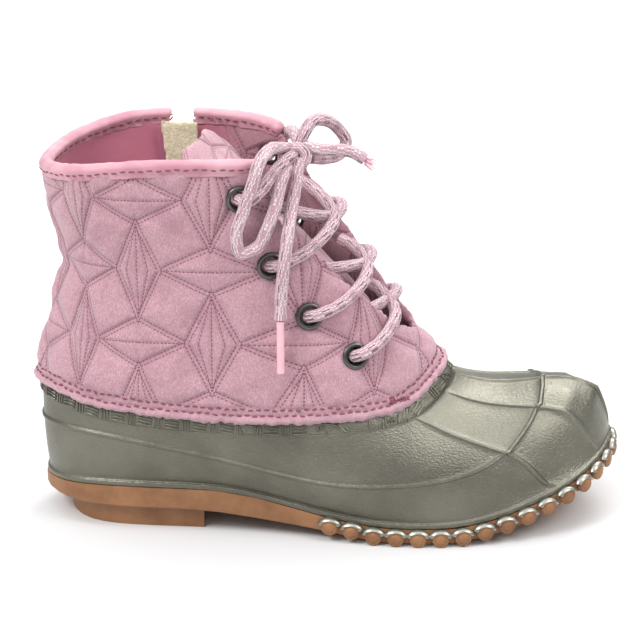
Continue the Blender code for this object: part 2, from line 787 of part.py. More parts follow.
# The free lace, point by point in metres: the knot in front of the collar, the loop that hangs over the outer
# flap, the loop that stands up, the hanging end with its tip, and the short end towards the toe.
CORDS = {
    "lace_knot": ((.0795, -.0150, .1845), (.0795, -.0050, .1845)),
    "lace_loop_left": (
        (.0722, -.0075, .1867), (.0702, -.0170, .1892), (.0662, -.0290, .1921), (.0618, -.0395, .1893),
        (.0580, -.0425, .1780), (.0540, -.0424, .1660), (.0508, -.0424, .1550), (.0530, -.0424, .1465),
        (.0602, -.0415, .1490), (.0655, -.0408, .1590), (.0690, -.0388, .1680), (.0712, -.0310, .1765),
        (.0722, -.0190, .1795),
    ),
    "lace_loop_up": (
        (.0815, -.0075, .1899), (.0828, -.0058, .1945), (.0862, -.0012, .1976), (.0920, .0040, .1965),
        (.0985, .0090, .1905), (.1020, .0100, .1840), (.0990, .0085, .1785), (.0925, .0045, .1775),
        (.0870, -.0010, .1795),
    ),
    "lace_end_hanging": (
        (.0790, -.0200, .1790), (.0778, -.0260, .1710), (.0758, -.0355, .1620), (.0742, -.0430, .1520),
        (.0730, -.0458, .1420), (.0718, -.0450, .1310), (.0712, -.0440, .1210), (.0710, -.0446, .1140),
    ),
    "lace_end_right": (
        (.0846, -.0112, .1857), (.0970, -.0100, .1862), (.1055, -.0100, .1848), (.1105, -.0100, .1815),
    ),
    "lace_tip_hanging": ((.0710, -.0450, .1134), (.0711, -.0468, .0880)),
}
THICKNESS = {"lace_knot": KNOT_RADIUS, "lace_tip_hanging": AGLET_RADIUS}


def smooth_route(points):
    """A cord's points with one more between each two, on a smooth curve through them."""
    points = np.array(points)
    if len(points) < 3:
        return points
    along = np.concatenate([[0], np.cumsum(np.linalg.norm(np.diff(points, axis=0), axis=-1))])
    finer = np.sort(np.concatenate([along, (along[1:] + along[:-1]) / 2]))
    return np.stack([open_spline(along, points[:, axis])(finer) for axis in range(3)], axis=-1)


def build_cord(name, finish, home):
    """A free stretch of lace, or the metal tip on its end."""
    route = smooth_route(CORDS[name])
    curve = bpy.data.curves.new(name, "CURVE")
    curve.dimensions = "3D"
    curve.bevel_depth = THICKNESS.get(name, LACE_RADIUS)
    curve.bevel_resolution = 2
    curve.use_fill_caps = True
    line = curve.splines.new("POLY")
    line.points.add(len(route) - 1)
    for place, point in zip(line.points, route):
        place.co = (*point, 1.0)
    curve.materials.append(finish)
    made = bpy.data.objects.new(name, curve)
    home.objects.link(made)
    return made


def zip_frame(z, shift):
    """The inner wall's point at the zip's line and the way out of the wall there."""
    return shaft_spot(zip_x(z) + shift, z, 1)


def build_tape(name, way, finish, home):
    """One half of the zip: a tape under the slit's edge, with its row of teeth as a bead."""
    deep = SHAFT_WALL + GAP * 2
    profile = (
        (0, deep - ZIP_TOOTH_RISE), (ZIP_TOOTH, deep - ZIP_TOOTH_RISE), (ZIP_TOOTH, deep), (ZIP_TAPE_WIDTH, deep),
        (ZIP_TAPE_WIDTH, deep + ZIP_TAPE_WALL), (0, deep + ZIP_TAPE_WALL),
    )
    sections = []
    for z in np.linspace(ZIP_FOOT + ZIP_TAPE_END, ZIP_TOP, 9):
        edge = slit_half(z) - ZIP_SLIT / 2 + ZIP_MEET
        section = []
        for across, depth in profile:
            point, normal = zip_frame(z, way * (edge + across))
            section.append(point - normal * depth)
        sections.append(section)
    return from_bmesh(name, bar_solid(sections), finish, home)


def slider_frame():
    """The slider's place on the wall, the way along the boot, the way out and the way up."""
    point, out = zip_frame(SLIDER_HEIGHT, 0.0)
    above, _ = zip_frame(SLIDER_HEIGHT + SLIDER_LENGTH, 0.0)
    up = unit(above - point)
    along = unit(np.cross(out, up))
    return point, -along if along[0] < 0 else along, unit(np.cross(up, along) * np.sign(np.cross(up, along) @ out)), up


def build_slider(finish, home, cutters):
    """The zip's slider: a block over the teeth and the bridge that holds the pull."""
    point, along, out, up = slider_frame()
    half = SLIDER_WIDTH / 2
    sections = []
    for place, narrow in ((-.5, .62), (-.2, .95), (.3, 1.0), (.5, .8)):
        wide = half * narrow
        plan = (
            (-wide, -SLIDER_SUNK), (wide, -SLIDER_SUNK), (wide, 0),
            (wide * .8, SLIDER_PROUD), (-wide * .8, SLIDER_PROUD), (-wide, 0),
        )
        sections.append([point + along * a + out * b + up * place * SLIDER_LENGTH for a, b in plan])
    body = from_bmesh("zip_slider", bar_solid(sections), finish, home)
    outer, inner = BAIL_REACH + BAIL_WALL, BAIL_REACH
    low = SLIDER_PROUD - BAIL_WALL / 2
    high = SLIDER_PROUD + BAIL_REACH * 2
    profile = (
        (-outer, low), (-inner, low), (-inner, high), (inner, high), (inner, low), (outer, low),
        (outer, high + BAIL_WALL), (-outer, high + BAIL_WALL),
    )
    arch = [[point + along * a + up * b + out * c for b, c in profile] for a in (-BAIL_WIDTH / 2, BAIL_WIDTH / 2)]
    cut(body, from_bmesh("bail_form", bar_solid(arch), None, cutters), "UNION")
    return body


def pull_axis():
    """The pull's pin: the middle of the space under the slider's bridge."""
    point, along, out, up = slider_frame()
    return point + out * (SLIDER_PROUD + BAIL_REACH), along, out, up


def build_pull(finish, home, cutters):
    """The pull tab, hanging from its pin, with its own origin on the pin's axis."""
    pin, along, out, up = pull_axis()
    half, wall = PULL_WIDTH / 2, PULL_WALL / 2
    sections = []
    for place, narrow in ((wall / PULL_LENGTH, .86), (-.10, 1.0), (-.80, 1.0), (-.93, .88), (-1.0, .55)):
        wide = half * narrow
        corners = ((-wide, -wall), (wide, -wall), (wide, wall), (-wide, wall))
        sections.append([along * a + out * b + up * place * PULL_LENGTH for a, b in corners])
    body = from_bmesh("zip_pull", bar_solid(sections), finish, home)
    body.location = Vector(pin)
    window = []
    for place in (-wall - PULL_WINDOW_LENGTH, -wall):
        corners = ((-1, -1), (1, -1), (1, 1), (-1, 1))
        window.append([
            pin + along * a * PULL_WINDOW / 2 + out * b * PULL_WALL + up * place for a, b in corners
        ])
    cut(body, from_bmesh("pull_window_form", bar_solid(window), None, cutters))
    return body


def build_guard(finish, home):
    """The soft flap behind the zip."""
    front = SHAFT_WALL + GAP * 2 + ZIP_TAPE_WALL + GAP * 2
    sections = []
    for z in np.linspace(ZIP_FOOT + ZIP_TAPE_END, GUARD_TOP, 8):
        section = []
        for across, depth in ((-.5, 0), (0, 0), (.5, 0), (.5, 1), (0, 1), (-.5, 1)):
            point, normal = zip_frame(z, across * GUARD_WIDTH)
            section.append(point - normal * (front + depth * GUARD_WALL))
        sections.append(section)
    return from_bmesh("zip_guard", bar_solid(sections), finish, home)


def build_binding(name, clocks, finish, home):
    """A rolled edge that sits on the shaft's top edge."""
    tall = COLLAR_HEIGHT - SHELL_HEIGHT
    top = 1 - BINDING_HEIGHT / tall
    sections = []
    for clock in clocks:
        edge = shaft_point(clock, top)
        normal = normal_of(shaft_point, clock, top)
        middle = edge - normal * SHAFT_WALL / 2
        middle[2] = max(edge[2], edge[2] - normal[2] * SHAFT_WALL) + GAP * 2
        out = np.array([normal[0], normal[1], 0])
        out /= np.linalg.norm(out)
        profile = ((-.5, 0), (-.5, .62), (-.28, .94), (.06, 1), (.38, .86), (.5, .55), (.5, 0))
        sections.append([
            middle + out * across * BINDING_WIDTH + np.array([0, 0, up * BINDING_HEIGHT]) for across, up in profile
        ])
    return from_bmesh(name, bar_solid(sections), finish, home)


# The tongue: share of the shaft's height, clock steps to each side, and how far it is drawn back, in metres.
TONGUE_NAMES = ("height", "spread", "back")
TONGUE = (
    (.085, 1.30, .0000),
    (.14, 1.45, .0026),
    (.22, 1.65, .0060),
    (.32, 1.90, .0080),
    (.44, 2.20, .0108),
    (.54, 2.45, .0145),
)

# The part of the tongue that leans back: share of its reach, and how flat and how wide its section still is.
LEAN_NAMES = ("along", "flat", "wide")
LEAN = (
    (.20, .72, 1.06),
    (.42, .50, 1.13),
    (.64, .32, 1.17),
    (.82, .25, 1.12),
    (.94, .22, .94),
    (1.00, .20, .66),
)


def build_tongue(finish, home):
    """A strip under the throat that follows the shaft, then leans back into the collar."""
    across = np.linspace(1, -1, 9)
    rows = []
    for height, spread, back in TONGUE:
        clock = -across * spread + TONGUE_TURN
        sunk = shaft_point(clock, height) - normal_of(shaft_point, clock, height) * (SHAFT_WALL + TONGUE_GAP)
        rows.append(sunk - normal_of(shaft_point, 0.0, height) * back)
    last = rows[-1]
    middle = last[len(across) // 2]
    lean = np.array([-math.cos(TONGUE_LEAN), 0, math.sin(TONGUE_LEAN)])
    for along, flat, wide in LEAN:
        row = middle + (last - middle) * np.array([flat, wide, flat]) + lean * TONGUE_REACH * along
        row[:, 0] += TONGUE_SKEW * along * row[:, 1]
        rows.append(row)
    shape = bmesh.new()
    corners = [[shape.verts.new(point) for point in row] for row in rows]
    for first, second in zip(corners, corners[1:]):
        bridge(shape, first, second, closed=False)
    body = from_bmesh("tongue", shape, finish, home)
    wall = body.modifiers.new("wall", "SOLIDIFY")
    wall.thickness = TONGUE_WALL
    wall.offset = -1
    return body


def main():
    for old in list(bpy.data.objects):
        bpy.data.objects.remove(old)
    home = to_collection("duck_boot")
    cutters = to_collection("cutters")
    quilt = material("dusty pink textile", (.61, .35, .45), .90)
    edging = material("pink binding", (.76, .30, .41), .62)
    pewter = material("pewter rubber", (.32, .31, .27), .38, .75)
    gum = material("gum rubber", (.38, .18, .09), .55)
    rose = material("rose lining", (.43, .14, .22), .92)
    build_outsole(gum, home, cutters)
    build_shell(pewter, home)
    build_shaft(quilt, home, cutters)
    build_insole(rose, home)
    build_tongue(quilt, home)
    metal = material("gunmetal", (.12, .12, .12), .35, .9)
    cotton = material("pink lace", (.66, .44, .50), .85)
    tape = material("zip tape", (.45, .20, .28), .9)
    fleece = material("cream fleece", (.60, .54, .41), .95)
    for place, (side, x, z) in enumerate(eyelet_places()):
        label = "outer" if side < 0 else "inner"
        build_eyelet(f"eyelet_{label}_{place % len(EYELETS) + 1}", side, x, z, metal, home)
    for label, low in (("high", 1), ("middle", 2), ("low", 3)):
        build_crossing(f"lace_crossing_{label}", low, cotton, home, cutters)
    for name in CORDS:
        build_cord(name, metal if "tip" in name else cotton, home)
    build_tape("zip_tape_back", -1, tape, home)
    build_tape("zip_tape_front", 1, tape, home)
    build_slider(metal, home, cutters)
    build_pull(metal, home, cutters)
    build_guard(fleece, home)
    build_binding("collar_binding_back", np.linspace(2.75, 14.15, 34), edging, home)
    build_binding("collar_binding_front", np.linspace(14.87, 18.15, 10), edging, home)


main()
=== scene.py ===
import math

import bmesh
import bpy
import numpy as np
from mathutils import Matrix, Vector, noise
from mathutils.bvhtree import BVHTree
from mathutils.kdtree import KDTree


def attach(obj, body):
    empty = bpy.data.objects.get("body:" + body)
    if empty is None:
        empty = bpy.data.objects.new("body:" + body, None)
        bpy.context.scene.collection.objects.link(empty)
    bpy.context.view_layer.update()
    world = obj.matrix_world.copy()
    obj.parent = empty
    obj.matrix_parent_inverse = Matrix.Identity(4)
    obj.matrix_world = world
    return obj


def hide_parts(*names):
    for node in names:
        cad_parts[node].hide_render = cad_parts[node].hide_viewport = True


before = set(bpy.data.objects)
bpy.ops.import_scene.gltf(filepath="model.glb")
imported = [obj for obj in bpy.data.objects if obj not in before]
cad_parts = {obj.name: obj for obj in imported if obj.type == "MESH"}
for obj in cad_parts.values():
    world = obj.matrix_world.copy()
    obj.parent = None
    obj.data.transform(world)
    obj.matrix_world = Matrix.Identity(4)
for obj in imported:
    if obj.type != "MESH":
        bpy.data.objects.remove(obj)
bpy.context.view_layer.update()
print("frame loaded:", len(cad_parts), "nodes")

# camera and light: the photo looks down on the boot's outer side
view = {
    "target": (0.08955, 0.0, 0.0965),
    "distance": 1.2,
    "elevation": 21.2,
    "lens": 138.6,
}
light = {
    "overhead": (1.75, 1.77, 1.8),
    "horizon": (0.22, 0.22, 0.225),
    "floor": (0.66, 0.66, 0.66),
    "lamps": (
        ("key lamp", (-0.9, -0.7, 1.3), (0.6, 0.5), 17.0),
        ("fill lamp", (1.05, -0.5, 1.1), (0.5, 0.5), 7.0),
        ("rim lamp", (0.6, 0.9, 1.1), (0.8, 0.5), 12.0),
    ),
}


def makeCamera():
    tilt = math.radians(view["elevation"])
    lens = bpy.data.cameras.new("camera")
    lens.lens = view["lens"]
    lens.sensor_width = 36
    lens.clip_start = 0.01
    camera = bpy.data.objects.new("camera", lens)
    camera.location = Vector(view["target"]) + Vector((0, -math.cos(tilt), math.sin(tilt))) * view["distance"]
    camera.rotation_euler = (math.pi / 2 - tilt, 0, 0)
    bpy.context.scene.collection.objects.link(camera)
    bpy.context.scene.camera = camera


def makeLamp(name, place, size, power):
    lamp = bpy.data.lights.new(name, "AREA")
    lamp.shape = "RECTANGLE"
    lamp.size, lamp.size_y = size
    lamp.energy = power
    holder = bpy.data.objects.new(name, lamp)
    holder.location = place
    holder.rotation_euler = (Vector(view["target"]) - Vector(place)).to_track_quat("-Z", "Y").to_euler()
    bpy.context.scene.collection.objects.link(holder)


def makeStudio():
    sky = bpy.data.worlds.new("soft sky")
    sky.use_nodes = True
    links, background = sky.node_tree.links, sky.node_tree.nodes["Background"]
    where = sky.node_tree.nodes.new("ShaderNodeTexCoord")
    split = sky.node_tree.nodes.new("ShaderNodeSeparateXYZ")
    ease = sky.node_tree.nodes.new("ShaderNodeMapRange")
    ease.interpolation_type = "SMOOTHSTEP"
    ease.inputs["From Min"].default_value = 0.15
    mix = sky.node_tree.nodes.new("ShaderNodeMix")
    mix.data_type = "RGBA"
    mix.inputs[6].default_value = (*light["horizon"], 1)
    mix.inputs[7].default_value = (*light["overhead"], 1)
    links.new(where.outputs["Generated"], split.inputs[0])
    links.new(split.outputs["Z"], ease.inputs[0])
    links.new(ease.outputs[0], mix.inputs[0])
    links.new(mix.outputs[2], background.inputs["Color"])
    bpy.context.scene.world = sky
    bpy.context.scene.view_settings.view_transform = "Standard"
    for lamp in light["lamps"]:
        makeLamp(*lamp)
    ground = bmesh.new()
    bmesh.ops.create_grid(ground, x_segments=1, y_segments=1, size=6)
    floor = addPiece("floor", ground, [floorPaint])


# shader maths: a wire is a socket that takes part in an expression
class Wire:
    def __init__(self, finish, socket):
        self.finish = finish
        self.socket = socket

    def __add__(self, other):
        return self.finish.maths("ADD", self, other)

    __radd__ = __add__

    def __mul__(self, other):
        return self.finish.maths("MULTIPLY", self, other)

    __rmul__ = __mul__

    def __sub__(self, other):
        return self.finish.maths("SUBTRACT", self, other)

    def __rsub__(self, other):
        return self.finish.maths("SUBTRACT", other, self)

    def __truediv__(self, other):
        return self.finish.maths("DIVIDE", self, other)

    def __lt__(self, other):
        return self.finish.maths("LESS_THAN", self, other)

    def __gt__(self, other):
        return self.finish.maths("GREATER_THAN", self, other)

    def __abs__(self):
        return self.finish.maths("ABSOLUTE", self)


class Finish:
    def __init__(self, name, roughness, metallic=0.0, **sockets):
        self.material = bpy.data.materials.new(name)
        self.material.use_nodes = True
        self.tree = self.material.node_tree
        self.shader = self.tree.nodes["Principled BSDF"]
        self.lastBump = None
        self.shader.inputs["Roughness"].default_value = roughness
        self.shader.inputs["Metallic"].default_value = metallic
        for key, value in sockets.items():
            self.shader.inputs[key.replace("_", " ")].default_value = value

    def feed(self, socket, value):
        if isinstance(value, Wire):
            self.tree.links.new(value.socket, socket)
        elif socket.type == "RGBA":
            socket.default_value = (*value, 1.0)
        else:
            socket.default_value = value

    def node(self, kind, settings=None, inputs=None):
        made = self.tree.nodes.new("ShaderNode" + kind)
        for key, value in (settings or {}).items():
            setattr(made, key, value)
        for key, value in (inputs or {}).items():
            self.feed(made.inputs[key], value)
        return made

    def maths(self, operation, *values):
        return Wire(self, self.node("Math", {"operation": operation}, dict(enumerate(values))).outputs[0])

    def smooth(self, value, low, high):
        made = self.node("MapRange", {"interpolation_type": "SMOOTHSTEP"},
                         {"Value": value, "From Min": low, "From Max": high})
        return Wire(self, made.outputs[0])

    def place(self):
        return Wire(self, self.node("TexCoord").outputs["Object"])

    def field(self, name):
        return Wire(self, self.node("Attribute", {"attribute_name": name}).outputs["Fac"])

    def noise(self, scale, detail=2.0, rough=0.5, stretch=None):
        vector = self.place()
        if stretch:
            vector = Wire(self, self.node("Mapping", None, {"Vector": vector, "Scale": stretch}).outputs[0])
        made = self.node("TexNoise", None,
                         {"Vector": vector, "Scale": scale, "Detail": detail, "Roughness": rough})
        return Wire(self, made.outputs[0])

    def blend(self, factor, first, second):
        made = self.node("Mix", {"data_type": "RGBA"}, {0: factor, 6: first, 7: second})
        return Wire(self, made.outputs[2])

    def paint(self, colour):
        self.feed(self.shader.inputs["Base Color"], colour)

    def rough(self, value):
        self.feed(self.shader.inputs["Roughness"], value)

    def bump(self, height, distance, strength=1.0):
        made = self.node("Bump", None, {"Height": height, "Distance": distance, "Strength": strength})
        if self.lastBump:
            self.tree.links.new(self.lastBump.outputs[0], made.inputs["Normal"])
        self.lastBump = made
        self.tree.links.new(made.outputs[0], self.shader.inputs["Normal"])


def shade(red, green, blue):
    # a colour as it is read off a screen, made linear
    return tuple((part / 255 / 12.92) if part < 10 else ((part / 255 + 0.055) / 1.055) ** 2.4
                 for part in (red, green, blue))


# shared mesh work
def addPiece(name, shape, finishes, angle=None):
    mesh = bpy.data.meshes.new(name)
    shape.to_mesh(mesh)
    shape.free()
    for finish in finishes:
        mesh.materials.append(finish.material)
    piece = bpy.data.objects.new(name, mesh)
    bpy.context.scene.collection.objects.link(piece)
    mesh.shade_smooth()
    if angle:
        mesh.set_sharp_from_angle(angle=math.radians(angle))
    return piece


def cadShape(node):
    # a merged copy of a CAD node
    shape = bmesh.new()
    shape.from_mesh(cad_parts[node].data)
    bmesh.ops.remove_doubles(shape, verts=shape.verts, dist=2e-5)
    shape.normal_update()
    return shape


def applyModifiers(piece):
    graph = bpy.context.evaluated_depsgraph_get()
    mesh = bpy.data.meshes.new_from_object(piece.evaluated_get(graph))
    piece.modifiers.clear()
    piece.data = mesh
    mesh.shade_smooth()
    return piece


def evenCopy(name, node, voxel, passes, finishes):
    # an even, rounded mesh of a soft CAD node
    piece = addPiece(name, cadShape(node), finishes)
    even = piece.modifiers.new("even", "REMESH")
    even.mode = "VOXEL"
    even.voxel_size = voxel
    applyModifiers(piece)
    shape = bmesh.new()
    shape.from_mesh(piece.data)
    for _ in range(passes):
        bmesh.ops.smooth_vert(shape, verts=shape.verts, factor=0.5,
                              use_axis_x=True, use_axis_y=True, use_axis_z=True)
    shape.to_mesh(piece.data)
    shape.free()
    return piece


def roundEdges(piece, width, angle):
    rounding = piece.modifiers.new("rounding", "BEVEL")
    rounding.width = width
    rounding.segments = 2
    rounding.limit_method = "ANGLE"
    rounding.angle_limit = math.radians(angle)


def flatShape(node):
    # a copy of a hard CAD node with its flat faces whole
    shape = cadShape(node)
    bmesh.ops.dissolve_limit(shape, angle_limit=math.radians(1.0), verts=shape.verts, edges=shape.edges)
    return shape


def joinShape(whole, part):
    mesh = bpy.data.meshes.new("part")
    part.to_mesh(mesh)
    part.free()
    whole.from_mesh(mesh)
    bpy.data.meshes.remove(mesh)


def pointsOf(mesh):
    points = np.empty(len(mesh.vertices) * 3, np.float32)
    mesh.vertices.foreach_get("co", points)
    return points.reshape(-1, 3).astype(float)


def normalsOf(mesh):
    normals = np.empty(len(mesh.vertices) * 3, np.float32)
    mesh.vertex_normals.foreach_get("vector", normals)
    return normals.reshape(-1, 3).astype(float)


def movePoints(mesh, points):
    mesh.vertices.foreach_set("co", points.astype(np.float32).ravel())
    mesh.update()


def setField(mesh, name, values):
    made = mesh.attributes.new(name, "FLOAT", "POINT")
    made.data.foreach_set("value", np.asarray(values, np.float32))


def surfaceOf(piece):
    return BVHTree.FromPolygons([tuple(v.co) for v in piece.data.vertices],
                                [tuple(f.vertices) for f in piece.data.polygons])


def smoothStep(low, high, value):
    part = np.clip((value - low) / (high - low), 0, 1)
    return part * part * (3 - 2 * part)


def ripple(points, scale, seed=0.0):
    # a smooth uneven value of each point, from -1 to 1
    shift = Vector((seed, seed * 1.7, seed * 0.6))
    return np.array([noise.noise(Vector(point) * scale + shift) for point in points])


def wear(piece, body, slot, *nodes):
    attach(piece, body)
    if nodes:
        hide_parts(*nodes)
    return piece


# the shaft's lower edge and its collar, at twenty places of the clock from the toe round the outer side
footLine = (
    (.1516, .0, .0770), (.1485, -.0131, .0754), (.1409, -.0262, .0708), (.1277, -.0374, .0656),
    (.1080, -.0437, .0634), (.0837, -.0448, .0618), (.0517, -.0427, .0609), (.0138, -.0405, .0630),
    (-.0193, -.0349, .0665), (-.0401, -.0202, .0693), (-.0493, .0, .0694), (-.0401, .0202, .0693),
    (-.0193, .0349, .0665), (.0138, .0405, .0629), (.0517, .0428, .0607), (.0837, .0449, .0615),
    (.1081, .0438, .0633), (.1276, .0374, .0657), (.1408, .0261, .0709), (.1484, .0131, .0755),
)
collarLine = (
    (.0759, .0, .1848), (.0736, -.0152, .1857), (.0670, -.0272, .1870), (.0570, -.0344, .1882),
    (.0427, -.0380, .1891), (.0279, -.0395, .1895), (.0119, -.0400, .1891), (-.0050, -.0386, .1876),
    (-.0230, -.0316, .1842), (-.0370, -.0172, .1810), (-.0424, .0, .1795), (-.0370, .0184, .1819),
    (-.0230, .0340, .1859), (-.0050, .0416, .1897), (.0119, .0436, .1913), (.0279, .0432, .1917),
    (.0427, .0412, .1912), (.0570, .0372, .1900), (.0670, .0292, .1885), (.0736, .0164, .1865),
)
clockCount = 240
levelCount = 20
outerSide = slice(40, 120)
shaftRise = (0.066, 0.121)


def finer(line):
    # a closed smooth line through the places of a table
    line = np.array(line)
    return np.stack([np.fft.irfft(np.fft.rfft(line[:, axis]), clockCount) * clockCount / len(line)
                     for axis in range(3)], axis=-1)


footFine, collarFine = finer(footLine), finer(collarLine)
zipClock = 14.5 / 20
quiltStart = 0.0033


def wrapOf(points):
    # how far round the shaft each point is, how high, its share of the height, and the way out of the wall
    levels = np.linspace(0, 1, levelCount + 1)
    outlines = footFine[None] * (1 - levels[:, None, None]) + collarFine[None] * levels[:, None, None]
    steps = np.linalg.norm(np.roll(outlines, -1, axis=1) - outlines, axis=-1)
    reach = np.concatenate([np.zeros((len(levels), 1)), np.cumsum(steps, axis=1)], axis=1)
    start = []
    for outline, along in zip(outlines, reach):
        start.append(np.interp(-quiltStart, -outline[outerSide, 0], along[:-1][outerSide]))
    start = np.array(start)
    across, share, out = np.zeros(len(points)), np.zeros(len(points)), np.zeros((len(points), 2))
    for low in range(0, len(points), 4000):
        part = points[low:low + 4000]
        height = np.clip((part[:, 2] - shaftRise[0]) / shaftRise[1], 0, 1)
        for _ in range(2):
            line = footFine[None] * (1 - height[:, None, None]) + collarFine[None] * height[:, None, None]
            gap = ((line[:, :, :2] - part[:, None, :2]) ** 2).sum(axis=-1)
            near = gap.argmin(axis=1)
            footZ, topZ = footFine[near, 2], collarFine[near, 2]
            height = np.clip((part[:, 2] - footZ) / (topZ - footZ), 0, 1)
        pick = np.arange(len(part))
        ahead = line[pick, (near + 1) % clockCount, :2] - line[pick, (near - 1) % clockCount, :2]
        ahead /= np.linalg.norm(ahead, axis=1, keepdims=True)
        slide = ((part[:, :2] - line[pick, near, :2]) * ahead).sum(axis=1)
        level = height * levelCount
        down = np.minimum(level.astype(int), levelCount - 1)
        mix = level - down
        along = reach[down, near] * (1 - mix) + reach[down + 1, near] * mix + slide
        begin = start[down] * (1 - mix) + start[down + 1] * mix
        total = reach[down, -1] * (1 - mix) + reach[down + 1, -1] * mix
        along = np.where(near > zipClock * clockCount, total - along, along)  # the inner flap is a mirror
        across[low:low + 4000] = quiltStart - (along - begin)
        share[low:low + 4000] = height
        out[low:low + 4000] = np.stack([-ahead[:, 1], ahead[:, 0]], axis=-1)
    return across, points[:, 2], share, out


# the quilting: squares, upright and flat diamonds, turned by this angle
quilting = {
    "cell": 0.0338,
    "turn": math.radians(26),
    "middle": (quiltStart, 0.1348),
    "stretch": (1.045, -2.4, 0.955),
    "puff": 0.0015,
    "puffWidth": 0.0040,
    "stitch": 0.0018,
    "twin": 0.00090,
    "thread": 0.00026,
}
cell, turn = quilting["cell"], quilting["turn"]
sine, cosine = math.sin(turn), math.cos(turn)
side = cell / (sine + cosine)


def quiltGap(across, up):
    # the distance from the nearest sewn line of the pattern
    u, v = across - quilting["middle"][0], up - quilting["middle"][1]
    a, b = (u + v) / (2 * cell), (u - v) / (2 * cell)
    a, b = a - np.round(a), b - np.round(b)
    x, y = abs(a + b) * cell, abs(a - b) * cell
    first = x * cosine + y * sine - side * sine * cosine
    second = (side * sine - x) * sine + y * cosine
    third = (y - side * cosine) * cosine - x * sine
    inUpright = first < 0
    outer = np.minimum(abs(first), np.where(inUpright, 1.0, np.minimum(abs(second), abs(third))))
    inner = np.where(inUpright, x, np.where(second < 0, y, np.where(third > 0, cell - y, 1.0)))
    return outer, inner


def sewQuilting(finish):
    # the same pattern as shader maths: returns the thread's mask and the ditch it lies in
    u = finish.field("across") - quilting["middle"][0]
    v = finish.field("up") - quilting["middle"][1]
    a, b = (u + v) / (2 * cell), (u - v) / (2 * cell)
    a, b = a - finish.maths("ROUND", a), b - finish.maths("ROUND", b)
    x, y = abs(a + b) * cell, abs(a - b) * cell
    first = x * cosine + y * sine - side * sine * cosine
    second = (side * sine - x) * sine + y * cosine
    third = (y - side * cosine) * cosine - x * sine
    inUpright = first < 0.0
    inFlat = (1.0 - inUpright) * (second < 0.0)
    inTop = (1.0 - inUpright) * (third > 0.0)
    pitch = quilting["stitch"]

    def dashes(along):
        return finish.maths("FRACT", along / pitch) < 0.62

    def row(gap, along):
        return (gap < quilting["thread"]) * dashes(along)

    twin = quilting["twin"]
    mask = row(abs(abs(first) - twin), y * cosine - x * sine)
    mask = mask + (1.0 - inUpright) * row(abs(abs(second) - twin), x * cosine + y * sine)
    mask = mask + (1.0 - inUpright) * row(abs(abs(third) - twin), x * cosine + y * sine)
    mask = mask + inUpright * row(x, y)
    half = abs(x * cosine * 2.0 + y * sine - side * sine * cosine)
    mask = mask + inUpright * row(half / 1.6, y)
    mask = mask + inFlat * row(y, x) + inTop * row(abs(cell - y), x)
    mask = finish.maths("MINIMUM", mask, 1.0)
    gap = finish.maths("MINIMUM", abs(first), inUpright + finish.maths("MINIMUM", abs(second), abs(third)))
    inner = inUpright * finish.maths("MINIMUM", x, half / 1.6) + inFlat * y + inTop * abs(cell - y)
    inner = inner + (1.0 - inUpright) * (1.0 - inFlat) * (1.0 - inTop)
    ditch = 1.0 - finish.smooth(gap, 0.0002, 0.0026)
    fine = 1.0 - finish.smooth(inner, 0.0, 0.0014)
    return mask, finish.maths("MAXIMUM", ditch, fine * 0.5)


# finishes
floorPaint = Finish("pale floor", 0.8)
floorPaint.paint(light["floor"])

quiltColours = {
    "cloth": shade(171, 129, 139),
    "worn": shade(203, 167, 176),
    # a darker pink for random blotches, also used as painted shade in the quilting's ditches
    "deep": shade(138, 92, 106),
    "thread": shade(112, 58, 76),
    "lining": shade(176, 104, 122),
}


def clothFinish(name):
    finish = Finish(name, 0.92, Sheen_Weight=0.25, Sheen_Roughness=0.5)
    weave = finish.noise(2600, 2, 0.6)
    blotch = finish.noise(70, 3, 0.6)
    heather = finish.noise(1500, 4, 0.75, (1.0, 1.0, 0.55))
    worn, cloth = quiltColours["worn"], quiltColours["cloth"]
    colour = finish.blend(finish.smooth(heather, 0.40, 0.68) * 0.8, cloth, worn)
    colour = finish.blend(finish.smooth(blotch, 0.45, 0.75) * 0.35, colour, quiltColours["deep"])
    edge, lined = finish.field("edge"), finish.field("lining")
    mask, ditch = sewQuilting(finish)
    keep = finish.smooth(edge, 0.0065, 0.0085) * (1.0 - lined)
    mask, ditch = mask * keep, ditch * keep
    # painted shade: the cloth is darkened along the sewn ditches and inner seams between the puffs
    colour = finish.blend(ditch * 0.16, colour, quiltColours["deep"])
    colour = finish.blend(lined, colour, quiltColours["lining"])
    colour = finish.blend(finish.smooth(edge, 0.004, 0.0) * 0.4, colour, quiltColours["worn"])
    colour = finish.blend(mask * 0.85, colour, quiltColours["thread"])
    finish.bump(ditch * -1.0, 0.0013, 0.7)
    finish.bump(mask, 0.0002, 0.5)
    finish.paint(colour)
    finish.bump(heather + weave * 0.6, 0.00025, 0.55)
    return finish


quilt = clothFinish("quilted pink cloth")

lining = Finish("rose fleece", 0.95, Sheen_Weight=0.4)
pile = lining.noise(1400, 3, 0.7)
lining.paint(lining.blend(lining.smooth(pile, 0.35, 0.7), shade(166, 96, 114), shade(200, 132, 148)))
lining.bump(pile, 0.0006, 0.7)

binding = Finish("pink binding", 0.6, Sheen_Weight=0.2)
bindingGrain = binding.noise(420, 3, 0.55)
bindingBlotch = binding.noise(60, 2, 0.5)
binding.paint(binding.blend(binding.smooth(bindingBlotch, 0.35, 0.7),
                            shade(204, 154, 164), shade(186, 130, 144)))
binding.rough(0.5 + bindingGrain * 0.25)
binding.bump(bindingGrain, 0.0005, 0.35)

